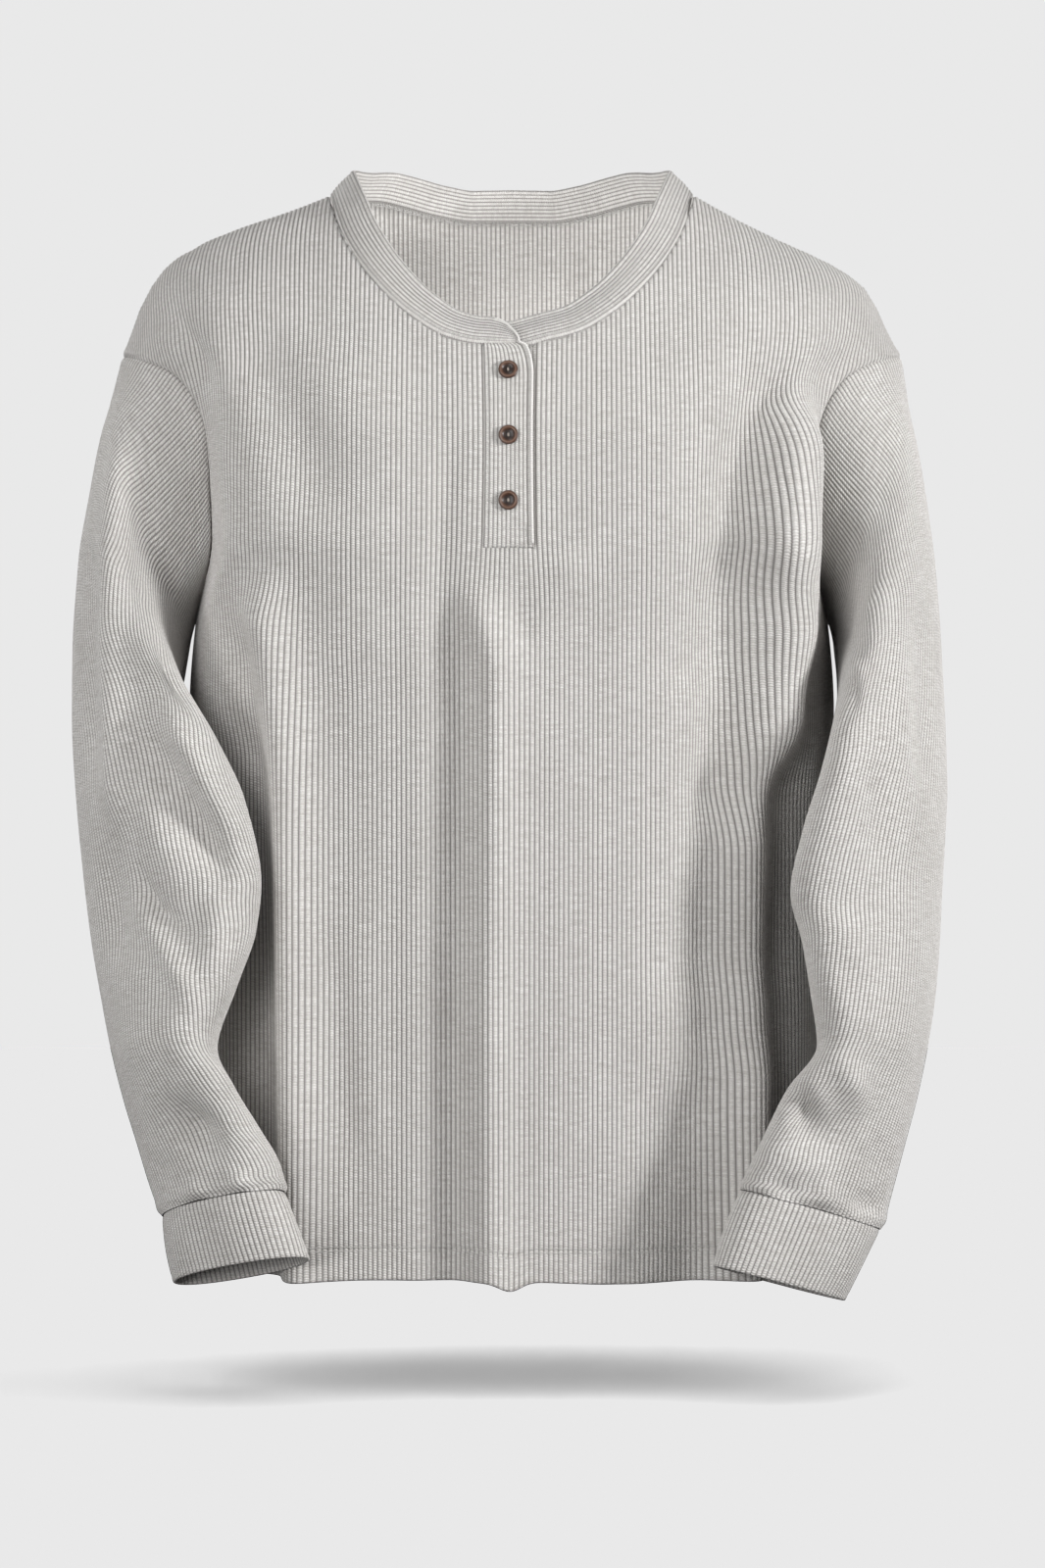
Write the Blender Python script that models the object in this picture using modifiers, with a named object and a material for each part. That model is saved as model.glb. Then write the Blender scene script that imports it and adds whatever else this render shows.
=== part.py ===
"""Henley shirt in heather-grey rib knit, hollow, in the shape it has when worn.

Metres, +Z up. The front faces -Y and the origin lies between the two side-neck seams, where the
wearer's neck and shoulders hold the shirt. Left and right are the sides of a viewer in front of it.
The tables are in millimetres. Each panel is a wall: its outer points come from the tables, its inner
points lie one cloth thickness further in, and pieces stop a seam gap short of each other.
"""
import math

import bpy
import numpy as np
from mathutils import Matrix, Vector

MM = 0.001

# ---- driving sizes, in millimetres
CLOTH = 1.5                 # thickness of one layer of rib knit
FOLDED = 2.2                # thickness of a folded band
HEM_EXTRA = 1.0             # what the turned-up hem adds inside
HEM_DEPTH = 20.0
SEAM_GAP = 0.3
NECK_HALF_WIDTH = 117.0     # neck seam, at the side of the neck
NECK_OVERLAP_SAG = 2.0      # the overlapping side of the front neckline hangs lower by this each way
NECK_SAG_SPREAD = 20.0      # over this distance from the centre
BAND_WIDTH = 22.0
BAND_RIBS = 7
BAND_BOW = 0.8
BAND_LEAN = ((0, 51.0), (90, 42.0), (180, 58.0))   # degrees round the neck from the front, slope of the band
NECK_AXIS_DEPTH = -8.0
RIB_HEIGHT = 0.5
SLIT_LEFT = -16.0           # the slit that the placket fills, across the front
SLIT_RIGHT = 12.8
SLIT_BOTTOM = -232.0
SLIT_HALFWAY = 60.0         # halfway down the slit from the neckline
PLACKET_RAISE = 0.8
PLACKET_CORNER = 8.0        # how far the placket's edge is cut back at its rounded top corner
PLACKET_CORNER_LENGTH = 26.0
UNDERLAP_LEFT = -11.0
UNDERLAP_RIGHT = 19.0
UNDERLAP_RISE = -2.2        # the lower layer's face, measured from the front's face
UNDER_BAND_RISE = -3.7      # the neckband's lower end, measured in the same way
UNDERLAP_BELOW_FOOT = 8.0
UNDERLAP_TOP_GAP = 0.9
BAND_RISE = 0.4
BAND_SHIFT = 20.0           # the band takes this much of its length to rise or sink to its ends
BAND_CORNER_LEAST = 0.08    # how much the rounded end keeps of its width, squared
CUFF_RIBS = 48
SHORTEST_STEP = 7.0         # a row this near to a column's end runs into it
NEXT_COLUMN = 1.6           # the first full column lies this many times as far out as the slit's edge
SEAM_CALM = 0.12            # folds fade out over this share of the panel beside its side seams
SAME_POINT = 0.001          # points nearer than this are one point
PROBE = 0.002               # step for reading a panel's slope
CUFF_SEAM = 0.4             # the cuff starts this far below the sleeve's end
BUTTON_HEIGHTS = (-121.0, -162.0, -202.5)
# A button's profile from its middle above, round the rim, to its middle below: radius, height.
BUTTON_PROFILE = ((0, 1.6), (3.9, 1.9), (4.7, 2.6), (5.6, 2.5), (6.1, 1.7), (5.8, 0.9), (4.4, 0), (0, 0))

# ---- level sections of the body, one side: height, half width, depth of front, depth of back, fullness
HOOPS = (
    # name,       height, half_width, front, back, fullness
    ("hem",       -686.0, 200.0, 120.0, 117.0, 2.1),
    ("low body",  -600.0, 200.0, 122.0, 115.0, 2.1),
    ("waist",     -500.0, 202.0, 123.0, 111.0, 2.1),
    ("mid body",  -400.0, 205.0, 123.0, 113.0, 2.15),
    ("rib cage",  -330.0, 207.0, 123.0, 118.0, 2.25),
    ("underarm",  -275.0, 203.0, 123.0, 121.0, 2.5),
)

# ---- sections above the underarm, one side: (x, y, z) at five stations from the centre to the armhole
YOKE_FRONT = (
    # name,         centre,           inner,            outer,            bend,             armhole
    ("low chest",   (0, -122, -221),  (66, -121, -221), (130, -113, -221), (175, -92, -221), (190, -43, -221)),
    ("chest",       (0, -119, -165),  (66, -117, -164), (132, -108, -160), (178, -87, -157), (193, -52, -161)),
    ("high chest",  (0, -104, -112),  (68, -100, -108), (134, -88, -100), (188, -70, -101), (213, -43, -120)),
    ("collar bone", (0, -74, -52),    (74, -68, -47),   (134, -56, -48),  (195, -44, -62),  (239, -23, -107)),
)
SHOULDER = ("shoulder", (0, 6, 22),   (78, 6, 13),      (140, 5, -9),     (201, 3, -35),    (250, 0, -104))
YOKE_BACK = (
    ("nape",        (0, 66, -1),      (80, 57, -1),     (134, 46, -30),   (195, 36, -58),   (239, 23, -107)),
    ("high back",   (0, 92, -62),     (68, 90, -66),    (134, 80, -80),   (188, 62, -98),   (213, 43, -120)),
    ("blades",      (0, 112, -140),   (66, 112, -143),  (132, 104, -150), (178, 84, -155),  (193, 52, -161)),
    ("low blades",  (0, 120, -221),   (66, 119, -221),  (130, 112, -221), (175, 90, -221),  (190, 43, -221)),
)

# ---- the two shoulders differ: place across (-1 left armhole, 1 right armhole), lift of the shoulder line
SHOULDER_LIFT = ((-1.0, 0), (-0.97, 6), (-0.93, 13.5), (-0.88, 15.5), (-0.83, 13.5), (-0.78, 9), (-0.73, 3.5),
                 (-0.65, 1), (-0.4, 0), (0.41, 0), (0.47, -2.5), (0.51, -4.5), (0.56, -6.5), (0.6, -8.2),
                 (0.65, -8.8), (0.7, -8), (0.75, -4.5), (0.8, 1), (0.85, 6.5), (0.9, 6.5), (0.95, 2.5), (1.0, 0))
SHOULDER_LIFT_REACH = 120.0  # the lift dies out this far in front of and behind the shoulder line

# ---- the neck seam, one side: height against distance from the centre in front, depth against it behind
NECKLINE_FRONT = ((0, -101.5), (20, -100.5), (40, -96), (64, -82), (88, -59), (106, -32), (117, -1.5))
NECKLINE_BACK = ((0, 72), (25, 71), (50, 66), (75, 56), (96, 41), (110, 23), (117, 6))

# ---- sections of the sleeves below the armhole: outer edge and inner edge (x outwards, y, z), half depth
SLEEVE_LEFT = (
    # name,          outer,               inner,               half_depth
    ("top",          (262, 4, -152),      (207, -6, -287),     65),
    ("upper 1",      (271, 4, -199),      (209, -20, -303),    71),
    ("upper 2",      (278, 2, -247),      (210, -42, -313),    74),
    ("upper 3",      (281, -6, -297),     (203, -74, -328),    68),
    ("upper 4",      (280, -24, -341),    (181, -100, -358),   55),
    ("above elbow",  (276, -40, -387),    (165, -114, -389),   46),
    ("elbow",        (270, -52, -439),    (155, -118, -439),   42),
    ("below elbow",  (264, -60, -481),    (158, -120, -468),   43),
    ("lower 1",      (258, -66, -512),    (170, -122, -503),   49),
    ("lower 2",      (252, -72, -541),    (182, -124, -540),   52),
    ("lower 3",      (243, -80, -575),    (171, -127, -565),   48),
    ("lower 4",      (234, -88, -602),    (155, -131, -591),   42),
    ("lower 5",      (226, -96, -626),    (142, -135, -613),   37),
    ("wrist seam",   (218, -102, -647),   (138, -138, -629),   34),
)
SLEEVE_RIGHT = (
    ("top",          (258, 4, -155),      (207, -6, -287),     65),
    ("upper 1",      (266, 4, -202),      (208, -20, -303),    71),
    ("upper 2",      (272, 2, -253),      (207, -44, -315),    73),
    ("upper 3",      (275, -6, -303),     (204, -74, -329),    69),
    ("upper 4",      (276, -24, -347),    (199, -96, -348),    62),
    ("above elbow",  (276, -38, -378),    (191, -110, -375),   55),
    ("elbow",        (274, -50, -409),    (180, -116, -409),   50),
    ("below elbow",  (271, -60, -446),    (173, -120, -445),   47),
    ("lower 1",      (269, -68, -475),    (180, -122, -475),   48),
    ("lower 2",      (266, -76, -506),    (185, -125, -506),   48),
    ("lower 3",      (261, -84, -537),    (189, -128, -538),   47),
    ("lower 4",      (254, -92, -569),    (169, -132, -568),   43),
    ("lower 5",      (245, -100, -601),   (153, -136, -600),   38),
    ("wrist seam",   (230, -106, -655),   (140, -139, -627),   34),
)
# ---- the open end of each cuff: outer edge, inner edge, half depth
CUFF_EDGE_LEFT = ((210, -107, -687), (124, -143, -669), 31)
CUFF_EDGE_RIGHT = ((207, -110, -698), (124, -144, -673), 31)
CUFF_GATHER = 0.97          # the cuff is this much smaller than the sleeve's end
SLEEVE_FULLNESS = 2.2

# ---- largest folds as the viewer sees them: height above the smooth form, width, and the line in x, z
FOLDS_FRONT = (
    # name,               height, width, points of the line
    ("centre ridge",      9.0, 14.0, ((-31, -245), (-12, -305), (-13, -414), (-15, -511), (-15, -608), (-13, -760))),
    ("centre valley",    -6.5, 20.0, ((-52, -235), (-47, -315), (-49, -414), (-51, -520), (-52, -760))),
    ("left ridge",        9.0, 20.0, ((-158, -232), (-150, -275), (-141, -330), (-135, -414), (-132, -608), (-126, -760))),
    ("left valley",      -8.0, 17.0, ((-176, -320), (-168, -430), (-162, -540), (-160, -760))),
    ("right ridge",       8.0, 18.0, ((164, -240), (152, -330), (143, -420), (141, -600), (136, -760))),
    ("right valley",     -8.0, 15.0, ((184, -280), (172, -400), (165, -520), (160, -760))),
    ("right low swell",   6.0, 42.0, ((128, -480), (131, -560), (132, -760))),
    ("left chest slope", -6.0, 26.0, ((-176, -70), (-150, -130), (-122, -185), (-112, -230))),
    ("right chest slope", -9.0, 30.0, ((190, -90), (160, -145), (136, -205), (126, -340))),
    ("right side fold",   9.0, 18.0, ((172, -130), (170, -200), (168, -290), (166, -390))),
    ("left chest light",  3.5, 34.0, ((-118, -90), (-98, -170), (-92, -330))),
)
FOLDS_BACK = (
    ("back centre",      -7.0, 24.0, ((10, -320), (4, -450), (0, -560), (-4, -760))),
    ("back left ridge",   7.0, 20.0, ((-70, -290), (-64, -420), (-60, -560), (-58, -760))),
    ("back left valley", -7.0, 18.0, ((-120, -270), (-113, -420), (-108, -560), (-106, -760))),
    ("back right ridge",  8.0, 18.0, ((80, -270), (71, -430), (66, -560), (64, -760))),
    ("back right valley", -7.0, 18.0, ((126, -300), (119, -430), (114, -560), (112, -760))),
    ("left blade",       -6.0, 24.0, ((-196, -120), (-160, -200), (-140, -280))),
    ("right blade",      -6.0, 24.0, ((196, -120), (162, -205), (142, -290))),
)
FOLDS_SLEEVE_LEFT = (
    ("pinch",            -7.0, 22.0, ((-190, -290), (-214, -314), (-244, -344))),
    ("outer valley",     -5.0, 12.0, ((-262, -220), (-265, -300), (-260, -390))),
    ("elbow valley",     -7.0, 13.0, ((-236, -335), (-209, -372), (-188, -409), (-166, -447))),
    ("elbow roll",        5.0, 12.0, ((-238, -375), (-216, -415), (-199, -460))),
    ("wrist crease",     -6.0, 12.0, ((-218, -562), (-197, -590), (-170, -618))),
)
FOLDS_SLEEVE_RIGHT = (
    ("pinch",            -7.0, 22.0, ((184, -280), (208, -316), (232, -362))),
    ("upper roll",        4.0, 20.0, ((219, -170), (222, -235), (226, -300))),
    ("elbow crease",     -4.0, 12.0, ((176, -446), (200, -452), (232, -440))),
    ("forearm roll",      4.0, 16.0, ((187, -452), (202, -495), (214, -540))),
    ("wrist crease",     -8.0, 14.0, ((154, -594), (182, -592), (216, -584))),
)
HEM_DIPS = ((0, 9.0, 5.5), (-128, 26.0, 2.0), (70, 45.0, 2.5))   # across, width, how far the hem drops there
HEM_DIP_RISE = 70.0         # a dip fades out this far above the hem
FOLD_FADE = 45.0            # a fold dies out over this length at each of its ends

# ---- how finely the walls are divided
ROWS_HEM_TO_UNDERARM = 13
ROWS_UNDERARM_TO_SLIT = 4
ROWS_SLIT_TO_TOP = 11
COLUMNS_NECK = 9
COLUMNS_SHOULDER = 8
COLUMNS_BACK_NECK = 6
SLEEVE_ROWS = 22
BAND_ROWS = 2 * BAND_RIBS
PLACKET_COLUMNS = 4
PLACKET_ROWS = 8
UNDER_BAND_COLUMNS = 3      # how many of the lower layer's columns carry the neckband's lower end
BUTTON_SIDES = 16
EDGE_CROWDING = 1.35        # columns are crowded towards the armhole by this power

CLOTH_COLOUR = (0.56, 0.54, 0.52)
BUTTON_COLOUR = (0.13, 0.055, 0.03)


# ---------------------------------------------------------------- curves and surfaces

def smooth_curve(knots, values, at):
    """Read a smooth curve, with no overshoot, through values at knots.

    values has one row for each knot and a column for each curve; at is one list for all the curves,
    or has a column for each.
    """
    span = np.diff(knots)[:, None, None]
    slope = np.diff(values, axis=0) / span
    product = slope[:-1] * slope[1:]
    total = slope[:-1] + slope[1:]
    tangent = np.empty_like(values)
    tangent[0] = slope[0]
    tangent[-1] = slope[-1]
    tangent[1:-1] = np.where(product > 0, 2 * product / np.where(product > 0, total, 1.0), 0.0)
    at = np.asarray(at, float)
    if at.ndim == 1:
        at = np.repeat(at[:, None], values.shape[1], axis=1)
    row = np.clip(np.searchsorted(knots, at, side="right") - 1, 0, len(knots) - 2)
    column = np.arange(values.shape[1])[None, :]
    width = (knots[row + 1] - knots[row])[..., None]
    t = (at - knots[row])[..., None] / width
    start, end = values[row, column], values[row + 1, column]
    leave, arrive = tangent[row, column] * width, tangent[row + 1, column] * width
    return (start * (2 * t ** 3 - 3 * t ** 2 + 1) + leave * (t ** 3 - 2 * t ** 2 + t)
            + end * (3 * t ** 2 - 2 * t ** 3) + arrive * (t ** 3 - t ** 2))


def lengths(points):
    """Distance along a line of points, from its first."""
    steps = np.linalg.norm(np.diff(points, axis=0), axis=1)
    return np.concatenate([[0.0], np.cumsum(steps)])


def unit(vectors):
    return vectors / np.maximum(np.linalg.norm(vectors, axis=-1, keepdims=True), 1e-12)


def even_curve(stations, fractions, dense=1200):
    """Points of the smooth curve through stations, at fractions of its length."""
    knots = lengths(stations)
    t = np.linspace(0.0, knots[-1], dense)
    fine = smooth_curve(knots, stations[:, None, :], t)[:, 0]
    along = lengths(fine)
    return smooth_curve(knots, stations[:, None, :], np.interp(fractions * along[-1], along, t))[:, 0]


def hoop_stations(height, half_width, depth, fullness, side):
    """Five stations from the centre to the side seam of a level section; side is -1 in front."""
    angles = np.radians((0.0, 22.0, 44.0, 68.0, 90.0))
    x = half_width * np.sin(angles) ** (2 / fullness)
    y = side * depth * np.clip(np.cos(angles), 0.0, 1.0) ** (2 / fullness)
    y[-1] = 0.0
    return np.stack([x, y, np.full(5, height)], axis=1)


def body_sections():
    """The sections from the front hem over the shoulder to the back hem, each as half a row."""
    front = [hoop_stations(height, half, depth, full, -1) for _, height, half, depth, _, full in HOOPS]
    back = [hoop_stations(height, half, depth, full, 1) for _, height, half, _, depth, full in HOOPS]
    yoke = [np.array(row[1:], float) for row in YOKE_FRONT + (SHOULDER,) + YOKE_BACK]
    return front + yoke + back[::-1]


SECTIONS = body_sections()
OUTER_STATION = 2
ROW_KNOTS = lengths(np.array([section[OUTER_STATION] for section in SECTIONS]))
UNDERARM = ROW_KNOTS[len(HOOPS) - 1]
SHOULDER_LINE = ROW_KNOTS[len(HOOPS) + len(YOKE_FRONT)]
UNDERARM_BACK = ROW_KNOTS[-len(HOOPS)]
BACK_HEM = ROW_KNOTS[-1]


def body_surface(across, along):
    """The body's outer form. across runs -1..1 from left to right, along goes over the shoulder.

    across has one value for a column; along has a row of them for each row of points.
    """
    rows = []
    for half in SECTIONS:
        stations = np.concatenate([half[:0:-1] * (-1, 1, 1), half])
        rows.append(even_curve(stations, (across + 1) / 2))
    points = smooth_curve(ROW_KNOTS, np.array(rows), along)
    near = np.clip(1 - np.abs(along - SHOULDER_LINE) / SHOULDER_LIFT_REACH, 0, 1)
    points[..., 2] += np.interp(across, *zip(*SHOULDER_LIFT)) * near * near * (3 - 2 * near)
    return points


def neckline_value(line, x):
    line = np.array(line, float)
    values = np.concatenate([line[:0:-1, 1], line[:, 1]])
    knots = np.concatenate([-line[:0:-1, 0], line[:, 0]])
    return smooth_curve(knots, values[:, None, None], np.clip(x, knots[0], knots[-1]))[:, 0, 0]


def front_neck_height(x):
    sag = NECK_OVERLAP_SAG * (1 - np.tanh(x / NECK_SAG_SPREAD)) * np.clip(1 - np.abs(x) / NECK_HALF_WIDTH, 0, 1)
    return neckline_value(NECKLINE_FRONT, x) - sag


def back_neck_depth(x):
    return neckline_value(NECKLINE_BACK, x)


def neck_corner():
    """The column that ends at the side-neck seam."""
    probe = np.linspace(0, 1, 400)
    line = body_surface(probe, np.full((1, 400), SHOULDER_LINE))[0, :, 0]
    return np.interp(NECK_HALF_WIDTH, line, probe)


NECK_CORNER = neck_corner()


def top_of_column(across, front):
    """Where each column of a panel ends: at the neckline or at the shoulder seam."""
    low = np.full(len(across), UNDERARM if front else UNDERARM_BACK)
    high = np.full(len(across), SHOULDER_LINE)
    for _ in range(40):
        middle = (low + high) / 2
        point = body_surface(across, middle[None, :])[0]
        if front:
            inside = point[:, 2] > front_neck_height(point[:, 0])
        else:
            inside = point[:, 1] < back_neck_depth(point[:, 0])
        high = np.where(inside, middle, high)
        low = np.where(inside, low, middle)
    return np.where(np.abs(across) < NECK_CORNER - 1e-9, (low + high) / 2, SHOULDER_LINE)


def fold_heights(x, z, folds):
    """How far the folds lift or sink each point, from its place in the front view."""
    total = np.zeros_like(x)
    for _, height, width, line in folds:
        line = np.array(line, float)
        path = even_curve(line, np.linspace(0, 1, 24), dense=200)
        length = lengths(path)
        nearest = np.full(x.shape, 1e9)
        place = np.zeros_like(x)
        for start, end, done in zip(path[:-1], path[1:], length[:-1]):
            step = end - start
            size = np.hypot(*step)
            t = np.clip(((x - start[0]) * step[0] + (z - start[1]) * step[1]) / size ** 2, 0, 1)
            distance = np.hypot(x - start[0] - t * step[0], z - start[1] - t * step[1])
            place = np.where(distance < nearest, done + t * size, place)
            nearest = np.minimum(nearest, distance)
        ends = np.minimum(place, length[-1] - place) / min(FOLD_FADE, length[-1] / 2)
        fade = np.clip(ends, 0, 1)
        total += height * np.exp(-(nearest / width) ** 2) * fade * fade * (3 - 2 * fade)
    return total


def grid_normals(points, closed=False):
    """Unit normals of a grid of points: columns run across and rows run along it."""
    if closed:
        across = np.roll(points, -1, axis=1) - np.roll(points, 1, axis=1)
    else:
        across = np.gradient(points, axis=1)
    return unit(np.cross(across, np.gradient(points, axis=0)))


# ---------------------------------------------------------------- panels

def even_columns(front):
    """Stations across half a panel, evenly spaced along its neckline and along its shoulder."""
    probe = np.linspace(0, NECK_CORNER, 300)
    along = lengths(body_surface(probe, top_of_column(probe, front)[None, :])[0])
    neck_count = COLUMNS_NECK if front else COLUMNS_BACK_NECK
    neck = np.interp(np.linspace(0, along[-1], neck_count + 1), along, probe)
    to_edge = 1 - (1 - np.linspace(0, 1, COLUMNS_SHOULDER + 1)[1:]) ** EDGE_CROWDING
    return np.concatenate([neck, NECK_CORNER + (1 - NECK_CORNER) * to_edge])


def slit_station(x):
    """The column that passes x, in mm, halfway down the slit."""
    probe = np.linspace(-0.3, 0.3, 400)
    level = np.full((1, 400), top_of_column(np.array([0.0]), True)[0] - SLIT_HALFWAY)
    return np.interp(x, body_surface(probe, level)[0, :, 0], probe)


def slit_foot():
    """How far up the front panel the slit starts."""
    probe = np.linspace(UNDERARM, SHOULDER_LINE, 300)
    heights = body_surface(np.array([0.0]), probe[:, None])[:, 0, 2]
    return np.interp(SLIT_BOTTOM, heights[:200], probe[:200])


def row_places(foot):
    """Rows from hem to shoulder, one each at the hem's stitching, the underarm and the slit's foot."""
    return np.concatenate([
        [0.0],
        np.linspace(HEM_DEPTH, UNDERARM, ROWS_HEM_TO_UNDERARM)[:-1],
        np.linspace(UNDERARM, foot, ROWS_UNDERARM_TO_SLIT + 1)[:-1],
        np.linspace(foot, SHOULDER_LINE, ROWS_SLIT_TO_TOP + 1)])


def folded(points, normals, folds, calm):
    """Points moved out by the folds; calm fades them towards seams."""
    lift = fold_heights(points[..., 0], points[..., 2], folds) * calm
    return points + normals * lift[..., None]


def panel_points(across, along, front):
    """Points of a panel, folds included; across has one value a column, along has one a point."""
    way = 1 if front else -1
    step_across = across - np.where(across > 0, PROBE, -PROBE)
    points = body_surface(across, along)
    sideways = (points - body_surface(step_across, along)) * np.where(across > 0, 1, -1)[None, :, None]
    upwards = body_surface(across, along + way) - points
    normals = unit(np.cross(sideways, upwards)) * way
    calm = np.clip((1 - np.abs(across)) / SEAM_CALM, 0, 1)[None, :]
    if front:
        low = np.clip(1 - along / HEM_DIP_RISE, 0, 1) ** 2
        for place, width, drop in HEM_DIPS:
            points[..., 2] -= drop * np.exp(-((points[..., 0] - place) / width) ** 2) * low
    return folded(points, normals, FOLDS_FRONT if front else FOLDS_BACK, calm)


def panel(across, along, front):
    """Outer points and outward normals of a panel; along has one value for each point."""
    way = 1 if front else -1
    points = panel_points(across, along, front)
    step_across = across - np.where(across > 0, PROBE, -PROBE)
    sideways = (points - panel_points(step_across, along, front)) * np.where(across > 0, 1, -1)[None, :, None]
    upwards = panel_points(across, along + way, front) - points
    return points, unit(np.cross(sideways, upwards)) * way


def panel_grid(across, places, front):
    """A panel's grid of level rows, its normals and the row where each column ends.

    Above a column's end the rows stay on that end.
    """
    top = top_of_column(across, front)
    if front:
        along = np.repeat(places[:, None], len(across), axis=1)
        along = np.where(along > top - SHORTEST_STEP, top, along)
    else:
        behind = np.interp(places, (0, UNDERARM, SHOULDER_LINE), (BACK_HEM, UNDERARM_BACK, SHOULDER_LINE))
        along = np.repeat(behind[:, None], len(across), axis=1)
        along = np.where(along < top + SHORTEST_STEP, top, along)
    points, out = panel(across, along, front)
    return points, out, np.argmax(along == top, axis=0)


def sleeve_sections(table, side):
    """Centre, half width and half depth vectors of each ring of a sleeve."""
    outer = np.array([row[1] for row in table], float) * (side, 1, 1)
    inner = np.array([row[2] for row in table], float) * (side, 1, 1)
    centre = (outer + inner) / 2
    axis = np.gradient(centre, axis=0)
    tilt = axis[:, 1] / axis[:, 2]
    forward = unit(np.stack([np.zeros(len(table)), -np.ones(len(table)), tilt], axis=1))
    depth = forward * np.array([row[3] for row in table], float)[:, None]
    return centre, (inner - outer) / 2, depth


def in_plane(normals, reach, depth):
    """The same directions, laid into the plane of a ring, so that the ring's rim is flat."""
    axis = unit(np.cross(reach, depth))
    return unit(normals - axis * np.sum(normals * axis, axis=1, keepdims=True))


def ring(centre, reach, depth, turns):
    """Points around one ring at turns 0..1: the underarm, the front, the outer edge, the back."""
    angle = np.linspace(0, 2 * math.pi, 721)
    power = 2 / SLEEVE_FULLNESS
    along = np.sign(np.cos(angle)) * np.abs(np.cos(angle)) ** power
    forward = np.sign(np.sin(angle)) * np.abs(np.sin(angle)) ** power
    fine = centre + along[:, None] * reach + forward[:, None] * depth
    distance = lengths(fine)
    half = distance[360]
    wanted = np.where(turns < 0.5, turns * 2 * half,
                      half + (turns - 0.5) * 2 * (distance[-1] - half))
    return np.stack([np.interp(wanted, distance, fine[:, k]) for k in range(3)], axis=1)


def sleeve(table, side, loop, turns, folds, rows):
    """Outer points and normals of a sleeve, from the armhole loop down to the wrist."""
    centre, reach, depth = sleeve_sections(table, side)
    rings = [loop] + [ring(*parts, turns) for parts in zip(centre, reach, depth)]
    rings = np.array(rings)
    middle = rings.mean(axis=1)
    knots = lengths(middle)
    points = smooth_curve(knots, rings, np.linspace(0, knots[-1], rows + 1))
    normals = grid_normals(points, closed=True) * -side
    facing = np.clip(-normals[..., 1] * 2, 0, 1)
    row = np.arange(rows + 1)[:, None]
    calm = np.clip(row / 2, 0, 1) * np.clip((rows - row) / 2, 0, 1)
    points = folded(points, normals, folds, facing * calm)
    normals = grid_normals(points, closed=True) * -side
    normals[-1] = in_plane(normals[-1], reach[-1], depth[-1])
    return points, normals


# ---------------------------------------------------------------- neckband and placket

def neckband(seam, seam_out, width, rise):
    """Outer points, inner points and outward normals of the band that stands on the neck seam.

    The columns follow the seam and the rows go up the band. Ridges run lengthwise.
    """
    run = unit(np.gradient(seam, axis=0))
    inward = np.stack([-seam[:, 0], NECK_AXIS_DEPTH - seam[:, 1], np.zeros(len(seam))], axis=1)
    turn = np.degrees(np.arctan2(np.abs(seam[:, 0]), NECK_AXIS_DEPTH - seam[:, 1]))
    lean = np.radians(np.interp(turn, *zip(*BAND_LEAN)))
    up = unit(inward) * np.cos(lean)[:, None] + np.array((0, 0, 1.0)) * np.sin(lean)[:, None]
    up = unit(up - run * np.sum(up * run, axis=1, keepdims=True))
    out = unit(np.cross(up, run))
    level = np.linspace(0, 1, BAND_ROWS + 1)[:, None, None]
    ridge = np.where(np.arange(BAND_ROWS + 1) % 2 == 1, RIB_HEIGHT, 0.0)[:, None, None]
    bow = BAND_BOW * np.sin(math.pi * level)
    normals = np.repeat(out[None], BAND_ROWS + 1, axis=0)
    normals[0] = unit(out + seam_out)
    plain = seam + up * level * width[:, None] + normals * (rise[:, None] + bow)
    return plain + normals * ridge, plain - normals * FOLDED, normals


def placket(left, right, foot, corner, rise):
    """Outer points, inner points and normals of a strip in or behind the slit, from foot to neckline."""
    top = top_of_column(np.array([0.0]), True)[0]
    places = np.linspace(foot, top, PLACKET_ROWS + 1)
    bend = np.clip((places - top) / PLACKET_CORNER_LENGTH + 1, 0, 1)
    edge = right - corner * (1 - np.sqrt(1 - bend ** 2))
    across = left + (edge[:, None] - left) * np.linspace(0, 1, PLACKET_COLUMNS + 1)[None, :]
    share = ((places - foot) / (top - foot))[:, None]
    rows_out = []
    for line, part_way in zip(across, share):
        ends = top_of_column(line, True)
        rows_out.append(panel(line, (foot + (ends - foot) * part_way)[None, :], True))
    points = np.array([row[0][0] for row in rows_out])
    out = np.array([row[1][0] for row in rows_out])
    return points + out * rise, points + out * (rise - FOLDED), out


# ---------------------------------------------------------------- solids

def material(name, colour, roughness):
    made = bpy.data.materials.new(name)
    made.use_nodes = True
    shader = made.node_tree.nodes["Principled BSDF"]
    shader.inputs["Base Color"].default_value = (*colour, 1.0)
    shader.inputs["Roughness"].default_value = roughness
    shader.inputs["Metallic"].default_value = 0.0
    return made


def add_object(name, mesh, look):
    mesh.materials.append(look)
    made = bpy.data.objects.new(name, mesh)
    bpy.data.collections["henley_shirt"].objects.link(made)
    return made


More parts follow.
